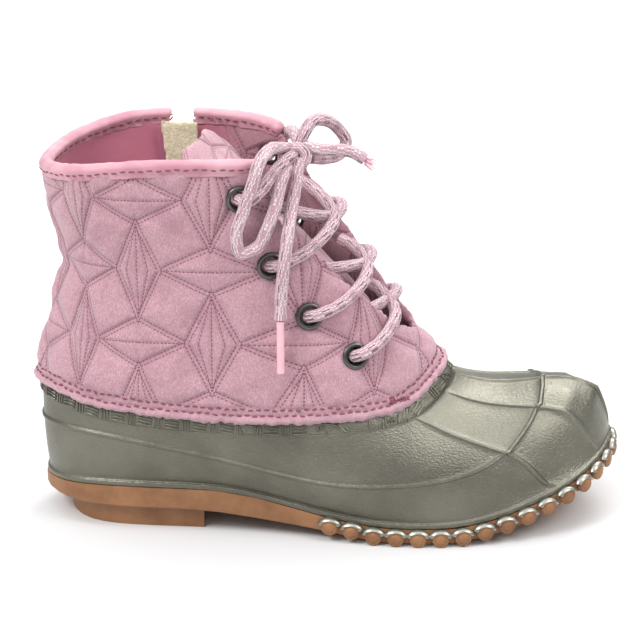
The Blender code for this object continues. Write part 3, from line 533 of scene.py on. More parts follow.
pewter = Finish("pewter rubber", 0.36, 0.88)
grain = pewter.noise(950, 3, 0.6, (0.7, 1.0, 1.3))
cloud = pewter.noise(24, 3, 0.55)
speck = pewter.noise(2400, 1, 0.5)
pewterColour = pewter.blend(pewter.smooth(cloud, 0.35, 0.7), shade(122, 120, 108), shade(104, 102, 91))
pewter.paint(pewter.blend(pewter.smooth(speck, 0.55, 0.75) * 0.35, pewterColour, shade(160, 158, 147)))
pewter.rough(0.24 + grain * 0.16 + cloud * 0.05)
pewter.bump(grain, 0.0007, 0.55)
pewter.bump(speck, 0.00015, 0.35)

silver = Finish("silver bead", 0.3, 0.85)
silverGrain = silver.noise(900, 2, 0.5)
silver.paint(silver.blend(silverGrain, shade(138, 137, 127), shade(172, 171, 161)))
silver.rough(0.24 + silverGrain * 0.16)
silver.bump(silverGrain, 0.0002, 0.25)

gum = Finish("gum rubber", 0.5)
gumGrain = gum.noise(700, 3, 0.6)
gumCloud = gum.noise(45, 3, 0.6)
gumColour = gum.blend(gum.smooth(gumCloud, 0.35, 0.7), shade(152, 107, 70), shade(126, 84, 52))
gum.paint(gum.blend(gum.smooth(gumGrain, 0.55, 0.8) * 0.3, gumColour, shade(178, 132, 98)))
gum.rough(0.42 + gumGrain * 0.25)
gum.bump(gumGrain, 0.0004, 0.35)

gunmetal = Finish("gunmetal", 0.3, 0.95)
brushed = gunmetal.noise(1100, 2, 0.5, (1.0, 1.0, 4.0))
gunmetal.paint(gunmetal.blend(brushed, shade(70, 70, 70), shade(116, 116, 114)))
gunmetal.rough(0.22 + brushed * 0.2)
gunmetal.bump(brushed, 0.00015, 0.2)

thread = Finish("plum thread", 0.75)
twist = thread.noise(3000, 1, 0.5)
thread.paint(thread.blend(twist, shade(112, 52, 72), shade(150, 84, 104)))
thread.bump(twist, 0.0002, 0.4)

tapeCloth = Finish("zip tape cloth", 0.85)
rib = tapeCloth.maths("SINE", tapeCloth.noise(60, 1, 0.5) * 6.0 + tapeCloth.field("up") * 9000.0)
tapeCloth.paint(tapeCloth.blend(rib * 0.25 + 0.5, shade(150, 84, 110), shade(176, 108, 132)))
tapeCloth.bump(rib, 0.0002, 0.4)

fleece = Finish("cream fleece", 0.97, Sheen_Weight=0.3)
curl = fleece.noise(750, 3, 0.7)
fleece.paint(fleece.blend(fleece.smooth(curl, 0.35, 0.7), shade(196, 184, 152), shade(222, 214, 188)))
fleece.bump(curl, 0.0009, 0.8)

tip = Finish("pink aglet", 0.25, 0.0, Coat_Weight=0.6)
tipCloud = tip.noise(300, 2, 0.5)
tip.paint(tip.blend(tipCloud, shade(222, 164, 174), shade(232, 186, 194)))
tip.bump(tipCloud, 0.0002, 0.3)


def laceFinish():
    finish = Finish("knitted pink lace", 0.85, Sheen_Weight=0.2)
    along, around = finish.field("along"), finish.field("around")
    rows = around * 14.0
    row = finish.maths("FLOOR", rows)
    inRow = abs(finish.maths("FRACT", rows) - 0.5) * 2.0
    slant = finish.maths("FRACT", along / 0.0019 + inRow * 0.45 + row * 0.5)
    loop = abs(slant - 0.5) * 2.0
    height = (1.0 - inRow * inRow) * (1.0 - loop * loop * 0.7)
    fleck = finish.maths("FRACT", row * 0.618 + finish.maths("FLOOR", along / 0.0038) * 0.377)
    white = (fleck < 0.42) * (1.0 - (loop > 0.75))
    dark = (finish.maths("FRACT", row * 0.381 + 0.2) < 0.2) * (
        finish.maths("FRACT", along / 0.0076 + row * 0.31) < 0.5) * (inRow < 0.6)
    # painted shade and highlight: the loops are painted lighter on their crowns and darker in the hollows
    # between them
    colour = finish.blend(height, shade(168, 116, 130), shade(222, 184, 194))
    colour = finish.blend(white * 0.85, colour, shade(250, 234, 238))
    colour = finish.blend(dark * 0.95, colour, shade(72, 60, 68))
    finish.paint(colour)
    finish.bump(height, 0.0006, 0.8)
    return finish


lace = laceFinish()

# the cords come first: the free lace, point by point in metres, as the CAD's cord nodes run
laceWidth = 0.0060
eyelets = {
    "outer": (
        ((.0524, -.0366, .1706), (.159, -.987, .017)),
        ((.0664, -.0362, .1378), (.129, -.986, .106)),
        ((.0845, -.0378, .1131), (.178, -.960, .217)),
        ((.1062, -.0377, .0929), (.314, -.904, .289)),
    ),
    "inner": (
        ((.0653, .0359, .1706), (.377, .920, .108)),
        ((.0773, .0360, .1378), (.274, .948, .160)),
        ((.0925, .0372, .1131), (.292, .924, .248)),
        ((.1102, .0369, .0929), (.384, .874, .299)),
    ),
}
freeLace = {
    "loopLeft": (
        (.0762, -.0075, .1860), (.0702, -.0170, .1892), (.0662, -.0290, .1921), (.0618, -.0395, .1893),
        (.0580, -.0430, .1780), (.0540, -.0434, .1660), (.0508, -.0434, .1550), (.0530, -.0434, .1465),
        (.0602, -.0430, .1490), (.0655, -.0418, .1590), (.0690, -.0388, .1680), (.0712, -.0310, .1765),
        (.0742, -.0190, .1805),
    ),
    "loopUp": (
        (.0795, -.0075, .1872), (.0828, -.0058, .1945), (.0862, -.0012, .1976), (.0920, .0040, .1965),
        (.0985, .0090, .1905), (.1020, .0100, .1840), (.0990, .0085, .1785), (.0925, .0045, .1775),
        (.0850, -.0030, .1800),
    ),
    "endHanging": (
        (.0800, -.0150, .1820), (.0790, -.0200, .1790), (.0778, -.0260, .1710), (.0758, -.0355, .1620),
        (.0742, -.0430, .1520), (.0730, -.0458, .1420), (.0718, -.0450, .1310), (.0712, -.0440, .1210),
        (.0710, -.0446, .1140),
    ),
    "endRight": (
        (.0640, .0325, .1702), (.0663, .0390, .1712), (.0700, .0385, .1760), (.0740, .0300, .1830),
        (.0765, .0170, .1870), (.0785, .0040, .1880), (.0820, -.0080, .1872), (.0900, -.0105, .1864),
        (.0970, -.0100, .1862), (.1055, -.0100, .1848), (.1105, -.0100, .1815),
    ),
    "rise": (
        (.0518, -.0326, .1706), (.0527, -.0385, .1707), (.0560, -.0425, .1712), (.0610, -.0400, .1745),
        (.0670, -.0310, .1800), (.0730, -.0200, .1835), (.0790, -.0110, .1850),
    ),
    "tip": ((.0710, -.0450, .1134), (.0711, -.0468, .0880)),
}
crossings = {
    "high": (
        ((.0670, -.0407, .1382), (.0767, -.0379, .1413), (.0842, -.0337, .1445), (.0895, -.0286, .1477),
         (.0937, -.0214, .1504), (.0962, -.0128, .1519), (.0962, -.0037, .1528), (.0930, .0060, .1549),
         (.0871, .0146, .1580), (.0798, .0211, .1615)),
        ((.0785, .0403, .1385), (.0876, .0355, .1428), (.0945, .0294, .1471), (.0994, .0193, .1503),
         (.0994, .0066, .1507), (.0952, -.0049, .1515), (.0879, -.0138, .1548), (.0794, -.0209, .1590),
         (.0709, -.0259, .1632), (.0604, -.0293, .1674)),
    ),
    "middle": (
        ((.0853, -.0421, .1141), (.0949, -.0386, .1167), (.1023, -.0337, .1199), (.1075, -.0276, .1231),
         (.1109, -.0198, .1255), (.1123, -.0113, .1269), (.1118, -.0032, .1277), (.1097, .0046, .1290),
         (.1055, .0119, .1306), (.0999, .0180, .1320)),
        ((.0938, .0414, .1142), (.1025, .0364, .1179), (.1089, .0302, .1218), (.1133, .0221, .1250),
         (.1145, .0122, .1264), (.1127, .0025, .1266), (.1095, -.0055, .1275), (.1050, -.0126, .1292),
         (.0989, -.0189, .1306), (.0915, -.0234, .1316)),
    ),
    "low": (
        ((.1076, -.0418, .0942), (.1153, -.0370, .0973), (.1209, -.0309, .1010), (.1245, -.0239, .1043),
         (.1257, -.0161, .1065), (.1247, -.0085, .1074), (.1226, -.0018, .1078), (.1205, .0041, .1086),
         (.1179, .0101, .1095), (.1143, .0159, .1099)),
        ((.1119, .0408, .0942), (.1191, .0351, .0981), (.1241, .0282, .1021), (.1269, .0205, .1054),
         (.1269, .0121, .1070), (.1243, .0042, .1071), (.1215, -.0022, .1074), (.1190, -.0081, .1082),
         (.1158, -.0143, .1089), (.1111, -.0198, .1089)),
    ),
}
crossingEyelets = {"high": 1, "middle": 2, "low": 3}


def finerRoute(points, step=0.0012):
    # even places on a smooth line through the points
    points = np.array(points, float)
    along = np.concatenate([[0], np.cumsum(np.linalg.norm(np.diff(points, axis=0), axis=-1))])
    slopes = np.gradient(points, along, axis=0) if len(points) > 2 else None
    places = np.linspace(0, along[-1], max(int(along[-1] / step), 2) + 1)
    if slopes is None:
        return np.stack([np.interp(places, along, points[:, axis]) for axis in range(3)], axis=-1)
    low = np.clip(np.searchsorted(along, places, side="right") - 1, 0, len(along) - 2)
    width = along[low + 1] - along[low]
    part = ((places - along[low]) / width)[:, None]
    width = width[:, None]
    return (points[low] * (2 * part**3 - 3 * part**2 + 1) + points[low + 1] * (3 * part**2 - 2 * part**3)
            + slopes[low] * width * (part**3 - 2 * part**2 + part)
            + slopes[low + 1] * width * (part**3 - part**2))


def lacePiece(name, points, finish=None, radius=laceWidth / 2, step=0.0012):
    # a round tube along the points, with fields along it and around it for the knitted rows
    route = finerRoute(points, step)
    curve = bpy.data.curves.new(name, "CURVE")
    curve.dimensions = "3D"
    curve.bevel_depth = radius
    curve.bevel_resolution = 3
    curve.use_fill_caps = True
    line = curve.splines.new("POLY")
    line.points.add(len(route) - 1)
    for place, point in zip(line.points, route):
        place.co = (*point, 1.0)
    guide = bpy.data.objects.new(name + "Guide", curve)
    bpy.context.scene.collection.objects.link(guide)
    bpy.context.view_layer.update()
    graph = bpy.context.evaluated_depsgraph_get()
    mesh = bpy.data.meshes.new_from_object(guide.evaluated_get(graph))
    bpy.data.objects.remove(guide)
    mesh.name = name
    mesh.materials.clear()
    mesh.materials.append((finish or lace).material)
    piece = bpy.data.objects.new(name, mesh)
    bpy.context.scene.collection.objects.link(piece)
    ring = len(mesh.vertices) // len(route)
    reach = np.concatenate([[0], np.cumsum(np.linalg.norm(np.diff(route, axis=0), axis=-1))])
    count = np.arange(len(mesh.vertices))
    setField(mesh, "along", reach[np.minimum(count // ring, len(route) - 1)])
    turnPart = (count % ring) / ring
    setField(mesh, "around", 1 - abs(turnPart * 2 - 1))
    mesh.shade_smooth()
    wear(piece, "boot", "lace" if finish is None else "gunmetal")
    return piece, route, float(reach[-1])


def makeLaces():
    tipPiece, _, _ = lacePiece("lace_tip", freeLace["tip"], tip, 0.0019, 0.004)
    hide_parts("lace_tip_hanging")
    knotRoute = [(.0795 + math.cos(a) * .0036, -.0145 + .0011 * a, .1845 + math.sin(a) * .0036)
                 for a in np.linspace(-1.2, 6.6, 16)]
    knot, _, _ = lacePiece("lace_knot_turn", knotRoute, None, 0.0028)
    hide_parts("lace_knot")
    declared = (
        ("lace_end_hanging_knit", "endHanging", "lace_end_hanging", "fitting", [tipPiece, knot], "hanging"),
        ("lace_loop_left_knit", "loopLeft", "lace_loop_left", "knot", [], "hanging"),
        ("lace_loop_up_knit", "loopUp", "lace_loop_up", "knot", [], "loose"),
        ("lace_end_right_knit", "endRight", "lace_end_right", "bare", [], "loose"),
        ("lace_rise_knit", "rise", None, "knot", [], "taut"),
    )
    for name, key, node, farEnd, others, lay in declared:
        piece, route, length = lacePiece(name, freeLace[key])
        if node:
            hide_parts(node)
    for label, strands in crossings.items():
        for sideName, strand in zip(("outer", "inner"), strands):
            middle, out = (np.array(part) for part in eyelets[sideName][crossingEyelets[label]])
            start = [middle - out * 0.0040, middle + out * 0.0012]
            points = start + [np.array(strand[0]) * 0.75 + np.array(strand[1]) * 0.25] + list(strand[1:])
            piece, _, _ = lacePiece(f"lace_{label}_{sideName}", points)
            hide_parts("lace_crossing_" + label)
    print("laces threaded")


def makeFrayedEnd():
    # the cut end of the short lace, teased out into threads
    shape = bmesh.new()
    end, before = Vector(freeLace["endRight"][-1]), Vector(freeLace["endRight"][-2])
    ahead = (end - before).normalized()
    for k in range(16):
        angle = k * 2.4
        spread = Vector((0, math.cos(angle), math.sin(angle))) * (0.0008 + 0.0018 * ((k * 7) % 5) / 5)
        length = 0.0035 + 0.0032 * ((k * 5) % 7) / 7
        direction = (ahead + spread * 130).normalized()
        frame3 = direction.to_track_quat("Z", "Y").to_matrix().to_4x4()
        bmesh.ops.create_cone(shape, cap_ends=True, segments=5, radius1=0.00042, radius2=0.0002, depth=length,
                              matrix=Matrix.Translation(end + spread + direction * length / 2) @ frame3)
    piece = addPiece("lace_frayed_end", shape, [tip])
    wear(piece, "boot", "lace")


def spunShape(profile, steps, middle, out):
    # a profile of (radius, height) turned about the way out
    shape = bmesh.new()
    corners = [shape.verts.new((radius, 0, height)) for radius, height in profile]
    edges = [shape.edges.new(pair) for pair in zip(corners, corners[1:])]
    bmesh.ops.spin(shape, geom=corners + edges, cent=(0, 0, 0), axis=(0, 0, 1), angle=math.tau, steps=steps,
                   use_merge=True)
    bmesh.ops.remove_doubles(shape, verts=shape.verts, dist=1e-6)
    bmesh.ops.recalc_face_normals(shape, faces=shape.faces)
    frame3 = Vector(out).to_track_quat("Z", "Y").to_matrix().to_4x4()
    bmesh.ops.transform(shape, matrix=Matrix.Translation(middle) @ frame3, verts=shape.verts)
    return shape


eyeletShape = {
    "profile": (
        (.0047, -.0036), (.0047, .0002), (.0060, .0002), (.0065, .0006), (.0065, .0011), (.0060, .0017),
        (.0052, .0019), (.0045, .0015), (.0041, .0006), (.0040, -.0010), (.0040, -.0036), (.0047, -.0036),
    ),
    "steps": 48,
}


def makeEyelets():
    for sideName, places in eyelets.items():
        for k, (middle, out) in enumerate(places):
            shape = spunShape(eyeletShape["profile"], eyeletShape["steps"], middle, out)
            piece = addPiece(f"eyelet_{sideName}_{k + 1}_rolled", shape, [gunmetal], 50)
            wear(piece, "boot", "gunmetal", f"eyelet_{sideName}_{k + 1}")
    print("eyelets set")


# the shaft: puffed quilting, a rolled raw edge at its foot, and the soft creases of the ankle
shaftWork = {
    "voxel": 0.00125,
    "smoothing": 5,
    "roll": 0.0016,
    "rollHeight": 0.0034,
    "rows": (0.0036, 0.0066),
    "rowDepth": 0.0010,
    "rowWidth": 0.0009,
    "stitches": {"pitch": 0.0038, "length": 0.0028, "radius": 0.00052},
    "handWork": 0.0006,
    "frayed": 0.0010,
    "intoBinding": 0.0016,
    "fade": (0.0062, 0.0105),
}
# x, z, turn, half length, half width, depth in metres: where the ankle folds and the flaps sag
creases = (
    (-.0385, .128, 8, .018, .0050, -.0014),
    (-.0340, .112, -6, .014, .0040, .0007),
    (.0050, .121, 12, .022, .0060, -.0009),
    (.0620, .118, -52, .016, .0045, -.0010),
    (.0880, .0850, -35, .020, .0060, -.0010),
    (.0480, .0900, 18, .024, .0060, -.0008),
    (-.0060, .0800, -10, .020, .0055, .0007),
    (.0230, .1550, 75, .018, .0050, -.0007),
)


def makeShaft():
    piece = evenCopy("quilted_shaft", "shaft", shaftWork["voxel"], shaftWork["smoothing"], [quilt])
    mesh = piece.data
    points, normals = pointsOf(mesh), normalsOf(mesh)
    across, up, share, out = wrapOf(points)
    # the cloth was pulled on by hand: the pattern lies wider in front and taller
    wide, bend, tall = quilting["stretch"]
    near = np.clip(across - quilting["middle"][0], -0.08, 0.08)
    across = across + near * (wide - 1 + bend * near)
    up = quilting["middle"][1] + (up - quilting["middle"][1]) * tall
    facing = (normals[:, :2] * out).sum(axis=1) / np.maximum(np.linalg.norm(normals[:, :2], axis=1), .3)
    outside = smoothStep(0.05, 0.45, facing)
    inside = smoothStep(-0.05, -0.45, facing)
    tree = KDTree(clockCount)
    for k, place in enumerate(footFine):
        tree.insert(place, k)
    tree.balance()
    edge = np.array([tree.find(point)[2] for point in points])
    outerGap, innerGap = quiltGap(across, up)
    work = 1 - np.exp(-(outerGap / quilting["puffWidth"]) ** 2)
    work *= 1 - 0.35 * np.exp(-(innerGap / 0.0016) ** 2)
    fade = smoothStep(*shaftWork["fade"], edge)
    lift = quilting["puff"] * (work - 0.25) * fade
    roll = np.clip(edge / shaftWork["rollHeight"], 0, 1)
    lift += shaftWork["roll"] * np.sin(math.pi * roll) * (edge < shaftWork["rollHeight"])
    for height in shaftWork["rows"]:
        lift -= shaftWork["rowDepth"] * np.exp(-((edge - height) / shaftWork["rowWidth"]) ** 2)
    lift += shaftWork["handWork"] * ripple(points, 55) + 0.00025 * ripple(points, 260, 3.0)
    lift += shaftWork["frayed"] * ripple(points, 380, 7.0) * (1 - smoothStep(0.002, 0.0042, edge))
    for x, z, angle, long, wide, depth in creases:
        angle = math.radians(angle)
        along = (points[:, 0] - x) * math.cos(angle) + (points[:, 2] - z) * math.sin(angle)
        off = (points[:, 2] - z) * math.cos(angle) - (points[:, 0] - x) * math.sin(angle)
        lift += depth * np.exp(-(along / long) ** 2 - (off / wide) ** 2)
    points = points + normals * (lift * (outside + inside * 0.1))[:, None]
    points[:, 2] += shaftWork["intoBinding"] * smoothStep(0.925, 0.940, share)
    movePoints(mesh, points)
    front = smoothStep(0.035, 0.055, points[:, 0])
    setField(mesh, "across", across)
    setField(mesh, "up", up)
    setField(mesh, "edge", edge)
    setField(mesh, "lining", inside * (1 - front * 0.85))
    wear(piece, "boot", "quilt", "shaft")
    print("shaft quilted:", len(mesh.polygons), "faces")
    return piece


tongueWork = {
    "finer": 1.3,
    "climb": (-0.80, 0.55, 0.12),
    "puff": 0.0004,
    "puffWidth": 0.003,
    "sink": 0.0006,
}


def makeTongue():
    piece = evenCopy("quilted_tongue", "tongue", 0.0012, 5, [quilt])
    mesh = piece.data
    points, normals = pointsOf(mesh), normalsOf(mesh)
    forward, rise, start = tongueWork["climb"]
    across = points[:, 1] * tongueWork["finer"]
    up = (points[:, 2] * rise + points[:, 0] * forward + start) * tongueWork["finer"]
    outerGap, _ = quiltGap(across, up)
    puffed = 1 - np.exp(-(outerGap / tongueWork["puffWidth"]) ** 2)
    movePoints(mesh, points + normals * (tongueWork["puff"] * puffed - tongueWork["sink"])[:, None])
    setField(mesh, "across", across)
    setField(mesh, "up", up)
    setField(mesh, "edge", np.ones(len(points)))
    setField(mesh, "lining", np.zeros(len(points)))
    wear(piece, "boot", "quilt", "tongue")


bindingWork = {
    "lipFoot": 0.0064,
    "seam": 0.0027,
    "roll": 0.0007,
    "lipSink": 0.0006,
    "stitches": {"pitch": 0.0042, "length": 0.0030, "radius": 0.00045},
}


def makeBindings():
    for part in ("back", "front"):
        node = "collar_binding_" + part
        piece = evenCopy(f"rolled_binding_{part}", node, 0.0011, 4, [binding])
        mesh = piece.data
        points, normals = pointsOf(mesh), normalsOf(mesh)
        tree = KDTree(clockCount)
        for k, place in enumerate(collarFine):
            tree.insert((place[0], place[1], 0), k)
        tree.balance()
        base = np.array([collarFine[tree.find((p[0], p[1], 0))[1], 2] for p in points])
        high = points[:, 2] - base + bindingWork["lipFoot"]
        lip = 1 - smoothStep(bindingWork["seam"] - 0.0004, bindingWork["seam"] + 0.0010, high)
        roll = np.clip((high - bindingWork["seam"]) / (bindingWork["lipFoot"] - bindingWork["seam"]), 0, 1)
        lift = bindingWork["roll"] * np.sin(roll * math.pi) - bindingWork["lipSink"] * lip
        lift -= 0.0005 * np.exp(-((high - bindingWork["seam"]) / 0.0006) ** 2)
        lift += 0.00035 * ripple(points, 90) + 0.0002 * ripple(points, 300, 5.0)
        points = points + normals * lift[:, None]
        points[:, 2] -= 0.0022 * lip
        movePoints(mesh, points)
        wear(piece, "boot", "binding", node)
    print("collar bound")


def makeSoftTrim():
    piece = evenCopy("fleece_guard", "zip_guard", 0.0011, 4, [fleece])
    points, normals = pointsOf(piece.data), normalsOf(piece.data)
    lift = 0.0003 * ripple(points, 500) + 0.0003 * ripple(points, 120)
    movePoints(piece.data, points + normals * lift[:, None])
    wear(piece, "boot", "fleece", "zip_guard")
    piece = evenCopy("fleece_insole", "insole", 0.0016, 3, [lining])
    wear(piece, "boot", "lining", "insole")


# the shell: the CAD's quads again, rounded by subdivision
def makeShell():
    shape = cadShape("shell")
    bmesh.ops.join_triangles(shape, faces=shape.faces, angle_face_threshold=math.radians(50),
                             angle_shape_threshold=math.radians(60), cmp_seam=False, cmp_sharp=False,
                             cmp_uvs=False, cmp_vcols=False, cmp_materials=False)
    hold = shape.edges.layers.float.new("crease_edge")
    for line in shape.edges:
        if line.calc_face_angle(0) > math.radians(28):
            line[hold] = 0.75
    piece = addPiece("pewter_shell", shape, [pewter])
    rounding = piece.modifiers.new("rounding", "SUBSURF")
    rounding.levels = rounding.render_levels = 2
    applyModifiers(piece)
    wear(piece, "boot", "shell", "shell")
    print("shell rounded:", len(piece.data.polygons), "faces")
    return piece


bandWork = {
    "pair": 0.0132,
    "longBar": 0.0070,
    "tallBar": 0.0050,
    "barWidth": 0.00090,
    "barHeight": 0.0013,
    "spacing": 0.0016,
    "middle": 0.0040,
}


def bandPath(surface, drop):
    # a line round the shell, this far below the shaft's lower edge
    found = []
    for place in footFine:
        point, normal, _, _ = surface.find_nearest(Vector(place))
        for _ in range(max(int(drop / 0.0005), 1)):
            down = normal * normal.z - Vector((0, 0, 1))
            point, normal, _, _ = surface.find_nearest(point + down.normalized() * 0.0005)
        found.append((point, normal))
    return found


def evenPlaces(path, pitch):
    # places along a closed line at an even pitch, each with its way out and its way along
    points = np.array([tuple(point) for point, _ in path])
    normals = np.array([tuple(normal) for _, normal in path])
    points = np.concatenate([points, points[:1]])
    normals = np.concatenate([normals, normals[:1]])
    reach = np.concatenate([[0], np.cumsum(np.linalg.norm(np.diff(points, axis=0), axis=-1))])
    count = max(int(round(reach[-1] / pitch)), 1)
    places = np.arange(count) * reach[-1] / count

    def at(along):
        along = along % reach[-1]
        point = Vector([np.interp(along, reach, points[:, axis]) for axis in range(3)])
        normal = Vector([np.interp(along, reach, normals[:, axis]) for axis in range(3)]).normalized()
        return point, normal

    return places, at


def frameAt(point, normal, ahead):
    # X along the line, Z out of the surface
    ahead = (ahead - normal * ahead.dot(normal)).normalized()
    return Matrix.Translation(point) @ Matrix((ahead, normal.cross(ahead), normal)).transposed().to_4x4()


def addBar(shape, place, size):
    made = bmesh.ops.create_cube(shape, size=1, matrix=place @ Matrix.Diagonal((*size, 1)))
    edges = list({edge for vert in made["verts"] for edge in vert.link_edges})
    bmesh.ops.bevel(shape, geom=edges, offset=min(size) * 0.3, offset_type="OFFSET", segments=1, profile=0.5,
                    affect="EDGES", material=-1)


def makeBand(shell):
    surface = surfaceOf(shell)
    places, at = evenPlaces(bandPath(surface, bandWork["middle"]), bandWork["pair"])
    shape = bmesh.new()
    for along in places:
        for offset in (-1, 0, 1):
            point, normal = at(along)
            ahead = at(along + 0.002)[0] - at(along - 0.002)[0]
            place = frameAt(point, normal, ahead) @ Matrix.Translation((0, offset * bandWork["spacing"], 0))
            addBar(shape, place, (bandWork["longBar"], bandWork["barWidth"], bandWork["barHeight"]))
            middle = along + bandWork["pair"] / 2 + offset * bandWork["spacing"] * 0.95
            point, normal = at(middle)
            ahead = at(middle + 0.002)[0] - at(middle - 0.002)[0]
            place = frameAt(point, normal, ahead)
            addBar(shape, place, (bandWork["barWidth"], bandWork["tallBar"], bandWork["barHeight"]))
    piece = addPiece("basket_band", shape, [pewter], 40)
    wear(piece, "boot", "shell")
    print("basket-weave band laid")


def stitchRow(name, path, sizes):
    places, at = evenPlaces(path, sizes["pitch"])
    length, radius = sizes["length"], sizes["radius"]
    tree = KDTree(len(path))
    for k, (point, _) in enumerate(path):
        tree.insert(point, k)
    tree.balance()
    shape = bmesh.new()
    for k, along in enumerate(places):
        point, normal = at(along)
        if tree.find(point)[2] > 0.0025:
            continue  # an opening in the line
        ahead = at(along + 0.001)[0] - at(along - 0.001)[0]
        wobble = 0.0003 * math.sin(k * 2.3)
        place = frameAt(point, normal, ahead) @ Matrix.Translation((0, wobble, radius * 0.35))
        place = place @ Matrix.Rotation(0.12 * math.sin(k * 1.7), 4, "Z")
        bmesh.ops.create_uvsphere(shape, u_segments=8, v_segments=5, radius=1,
                                  matrix=place @ Matrix.Diagonal((length / 2, radius, radius * 0.8, 1)))
    piece = addPiece(name, shape, [thread])
    wear(piece, "boot", "binding")


def makeStitches(shaft):
    surface = surfaceOf(shaft)
    for k, height in enumerate(shaftWork["rows"]):
        path = []
        for foot, top in zip(footFine, collarFine):
            climb = Vector(top - foot).normalized()
            point, normal, _, _ = surface.find_nearest(Vector(foot) + climb * height)
            path.append((point, normal))
        stitchRow(f"foot_stitches_{k + 1}", path, shaftWork["stitches"])
    drop = Vector((0, 0, bindingWork["lipFoot"] - bindingWork["seam"]))
    for part in ("back", "front"):
        bindingSurface = surfaceOf(bpy.data.objects["rolled_binding_" + part])
        for face, way in (("outside", 1), ("inside", -1)):
            path = []
            for top in collarFine:
                out = Vector((top[0] - 0.017, top[1], 0)).normalized() * way
                point, normal, _, reach = bindingSurface.ray_cast(Vector(top) + out * 0.016 - drop, -out)
                if point and reach < 0.020:
                    path.append((point, normal))
            stitchRow(f"binding_stitches_{part}_{face}", path, bindingWork["stitches"])
    print("stitches sewn")


bartackWork = {
    "places": (("foot_bartack", (0.1275, -0.060, 0.0695), 1), ("zip_bartack", (0.0331, 0.070, 0.0795), -1)),
    "size": (0.0085, 0.0042),
    "rows": 9,
}


def makeBartack(shaft):
    # frayed bars of thread that hold the flap's lower corner and the zip's foot
    surface = surfaceOf(shaft)
    wide, tall = bartackWork["size"]
    for name, middle, way in bartackWork["places"]:
        shape = bmesh.new()
        for k in range(bartackWork["rows"]):
            start = Vector(middle) + Vector(((k / (bartackWork["rows"] - 1) - 0.5) * wide, 0, 0))
            point, normal, _, _ = surface.ray_cast(start, Vector((0, way, 0)))
            if not point:
                continue
            lean = Vector((0.35 * math.sin(k * 2.1), 0, 1))
            size = (tall / 2 * (0.8 + 0.3 * math.sin(k * 1.3)), 0.00055, 0.0006, 1)
            bmesh.ops.create_uvsphere(shape, u_segments=8, v_segments=5, radius=1,
                                      matrix=frameAt(point, normal, lean) @ Matrix.Diagonal(size))
        wear(addPiece(name, shape, [thread]), "boot", "binding")


# the outsole, its lugs and the silver scallops over them
lugWork = {
    "profile": ((.0039, -.0010), (.0041, .0004), (.0039, .0013), (.0033, .0018), (.0029, .0016),
                (.0027, .0016), (.0024, .0020), (.0012, .0023), (.0, .0023)),
    "steps": 20,
    "scallopRadius": 0.0044,
    "scallopWidth": 0.0015,
    "scallopAngle": math.radians(138),
    "scallopScale": (1.08, 0.84, 1.4),
    "scallopSink": 0.0014,
    "sink": 0.0012,
    "rounding": 0.0004,
}


def lugPlaces(shape):
    # the flat ends of the lugs, found on the merged outsole
    found = []
    for face in shape.faces:
        if len(face.verts) == 12 and 2.0e-5 < face.calc_area() < 4.2e-5 and abs(face.normal.z) < 0.2:
            found.append((face.calc_center_median().copy(), face.normal.copy()))
    return found


def makeOutsole():
    shape = flatShape("outsole")
    places = lugPlaces(shape)
    piece = addPiece("gum_outsole", shape, [gum], 35)
    roundEdges(piece, lugWork["rounding"], 35)
    wear(piece, "boot", "gum", "outsole")
    lugs, scallops = bmesh.new(), bmesh.new()
    for middle, out in places:
        joinShape(lugs, spunShape(lugWork["profile"], lugWork["steps"], middle - out * lugWork["sink"], out))
        arc = bmesh.new()
        radius, wide = lugWork["scallopRadius"], lugWork["scallopWidth"]
        bmesh.ops.create_circle(arc, cap_ends=True, segments=8, radius=wide,
                                matrix=Matrix.Rotation(math.pi / 2, 4, "X"))
        bmesh.ops.translate(arc, vec=(radius, 0, 0), verts=arc.verts)
        half = lugWork["scallopAngle"] / 2
        bmesh.ops.rotate(arc, cent=(0, 0, 0), matrix=Matrix.Rotation(math.pi / 2 - half, 3, "Z"),
                         verts=arc.verts)
        bmesh.ops.spin(arc, geom=arc.faces, cent=(0, 0, 0), axis=(0, 0, 1), angle=half * 2, steps=14)
        rise = Vector((0, 0, 1))
        frame3 = Matrix((rise.cross(out).normalized(), rise, out)).transposed().to_4x4()
        place = Matrix.Translation(middle - out * lugWork["scallopSink"]) @ frame3
        place = place @ Matrix.Diagonal((*lugWork["scallopScale"], 1))
        bmesh.ops.transform(arc, matrix=place, verts=arc.verts)
        bmesh.ops.recalc_face_normals(arc, faces=arc.faces)
        joinShape(scallops, arc)
    wear(addPiece("lug_faces", lugs, [gum], 60), "boot", "gum")
    wear(addPiece("silver_scallops", scallops, [silver], 60), "boot", "shell")
    print("outsole dressed with", len(places), "lugs")


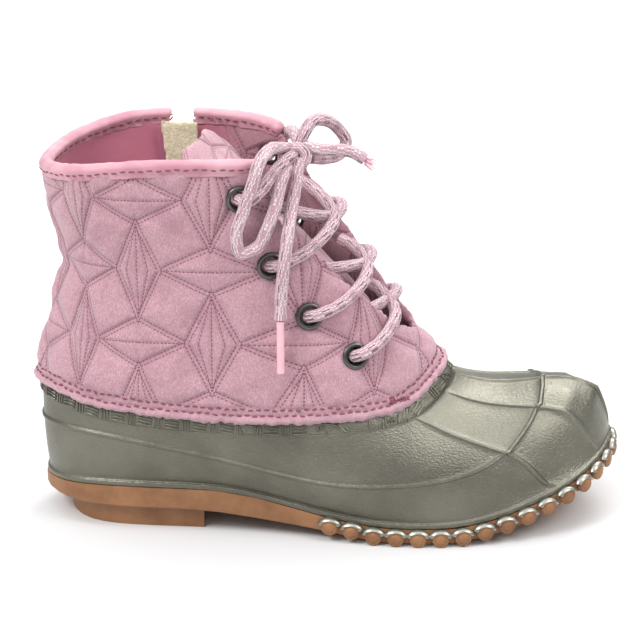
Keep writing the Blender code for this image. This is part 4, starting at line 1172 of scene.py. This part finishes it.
zipWork = {
    "line": ((.0326, .0412, .0860), (.0304, .0399, .1044), (.0282, .0388, .1228), (.0259, .0388, .1412),
             (.0237, .0400, .1596), (.0215, .0421, .1780)),
    "out": (0.03, 1, 0),
    "pitch": 0.0016,
    "tooth": (0.0009, 0.0022, 0.0016),
    "sink": 0.0030,
    "stagger": 0.0007,
    "slider": (0.1455, 0.1585),
    "openFrom": 0.152,
    "openBy": 0.0013,
    "patch": (0.0330, 0.0386, 0.0836),
    "patchSize": (0.0066, 0.0116, 0.0012),
    "rounding": 0.00018,
}


def makeZip():
    for node in ("zip_tape_back", "zip_tape_front"):
        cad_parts[node].material_slots[0].material = tapeCloth.material
    for node in ("zip_slider", "zip_pull"):
        piece = addPiece(node + "_cast", flatShape(node), [gunmetal], 35)
        roundEdges(piece, zipWork["rounding"], 30)
        wear(piece, "pull_tab" if node == "zip_pull" else "boot", "gunmetal", node)
    # the teeth, along the zip's middle line, clear of the slider
    route = finerRoute(zipWork["line"], zipWork["pitch"])
    out = Vector(zipWork["out"]).normalized()
    low, high = zipWork["slider"]
    shape = bmesh.new()
    for k, (point, after) in enumerate(zip(route[:-1], route[1:])):
        if low < point[2] < high:
            continue
        ahead = Vector(after - point).normalized()
        aside = zipWork["stagger"] + (0.0 if point[2] < zipWork["openFrom"] else zipWork["openBy"])
        place = frameAt(Vector(point) - out * zipWork["sink"], out, ahead)
        addBar(shape, place @ Matrix.Translation((0, aside if k % 2 else -aside, 0)), zipWork["tooth"])
    wear(addPiece("zip_teeth", shape, [gunmetal], 40), "boot", "gunmetal")
    # the tapes' sewn ends close the foot of the slit
    shape = bmesh.new()
    addBar(shape, frameAt(Vector(zipWork["patch"]), out, Vector((0, 0, 1))), zipWork["patchSize"])
    wear(addPiece("zip_foot_patch", shape, [tapeCloth], 40), "boot", "binding")
    print("zip closed")


makeCamera()
makeLaces()
makeFrayedEnd()
makeEyelets()
makeStudio()
shaft = makeShaft()
makeTongue()
makeBindings()
makeSoftTrim()
shell = makeShell()
makeBand(shell)
makeStitches(shaft)
makeBartack(shaft)
makeOutsole()
makeZip()
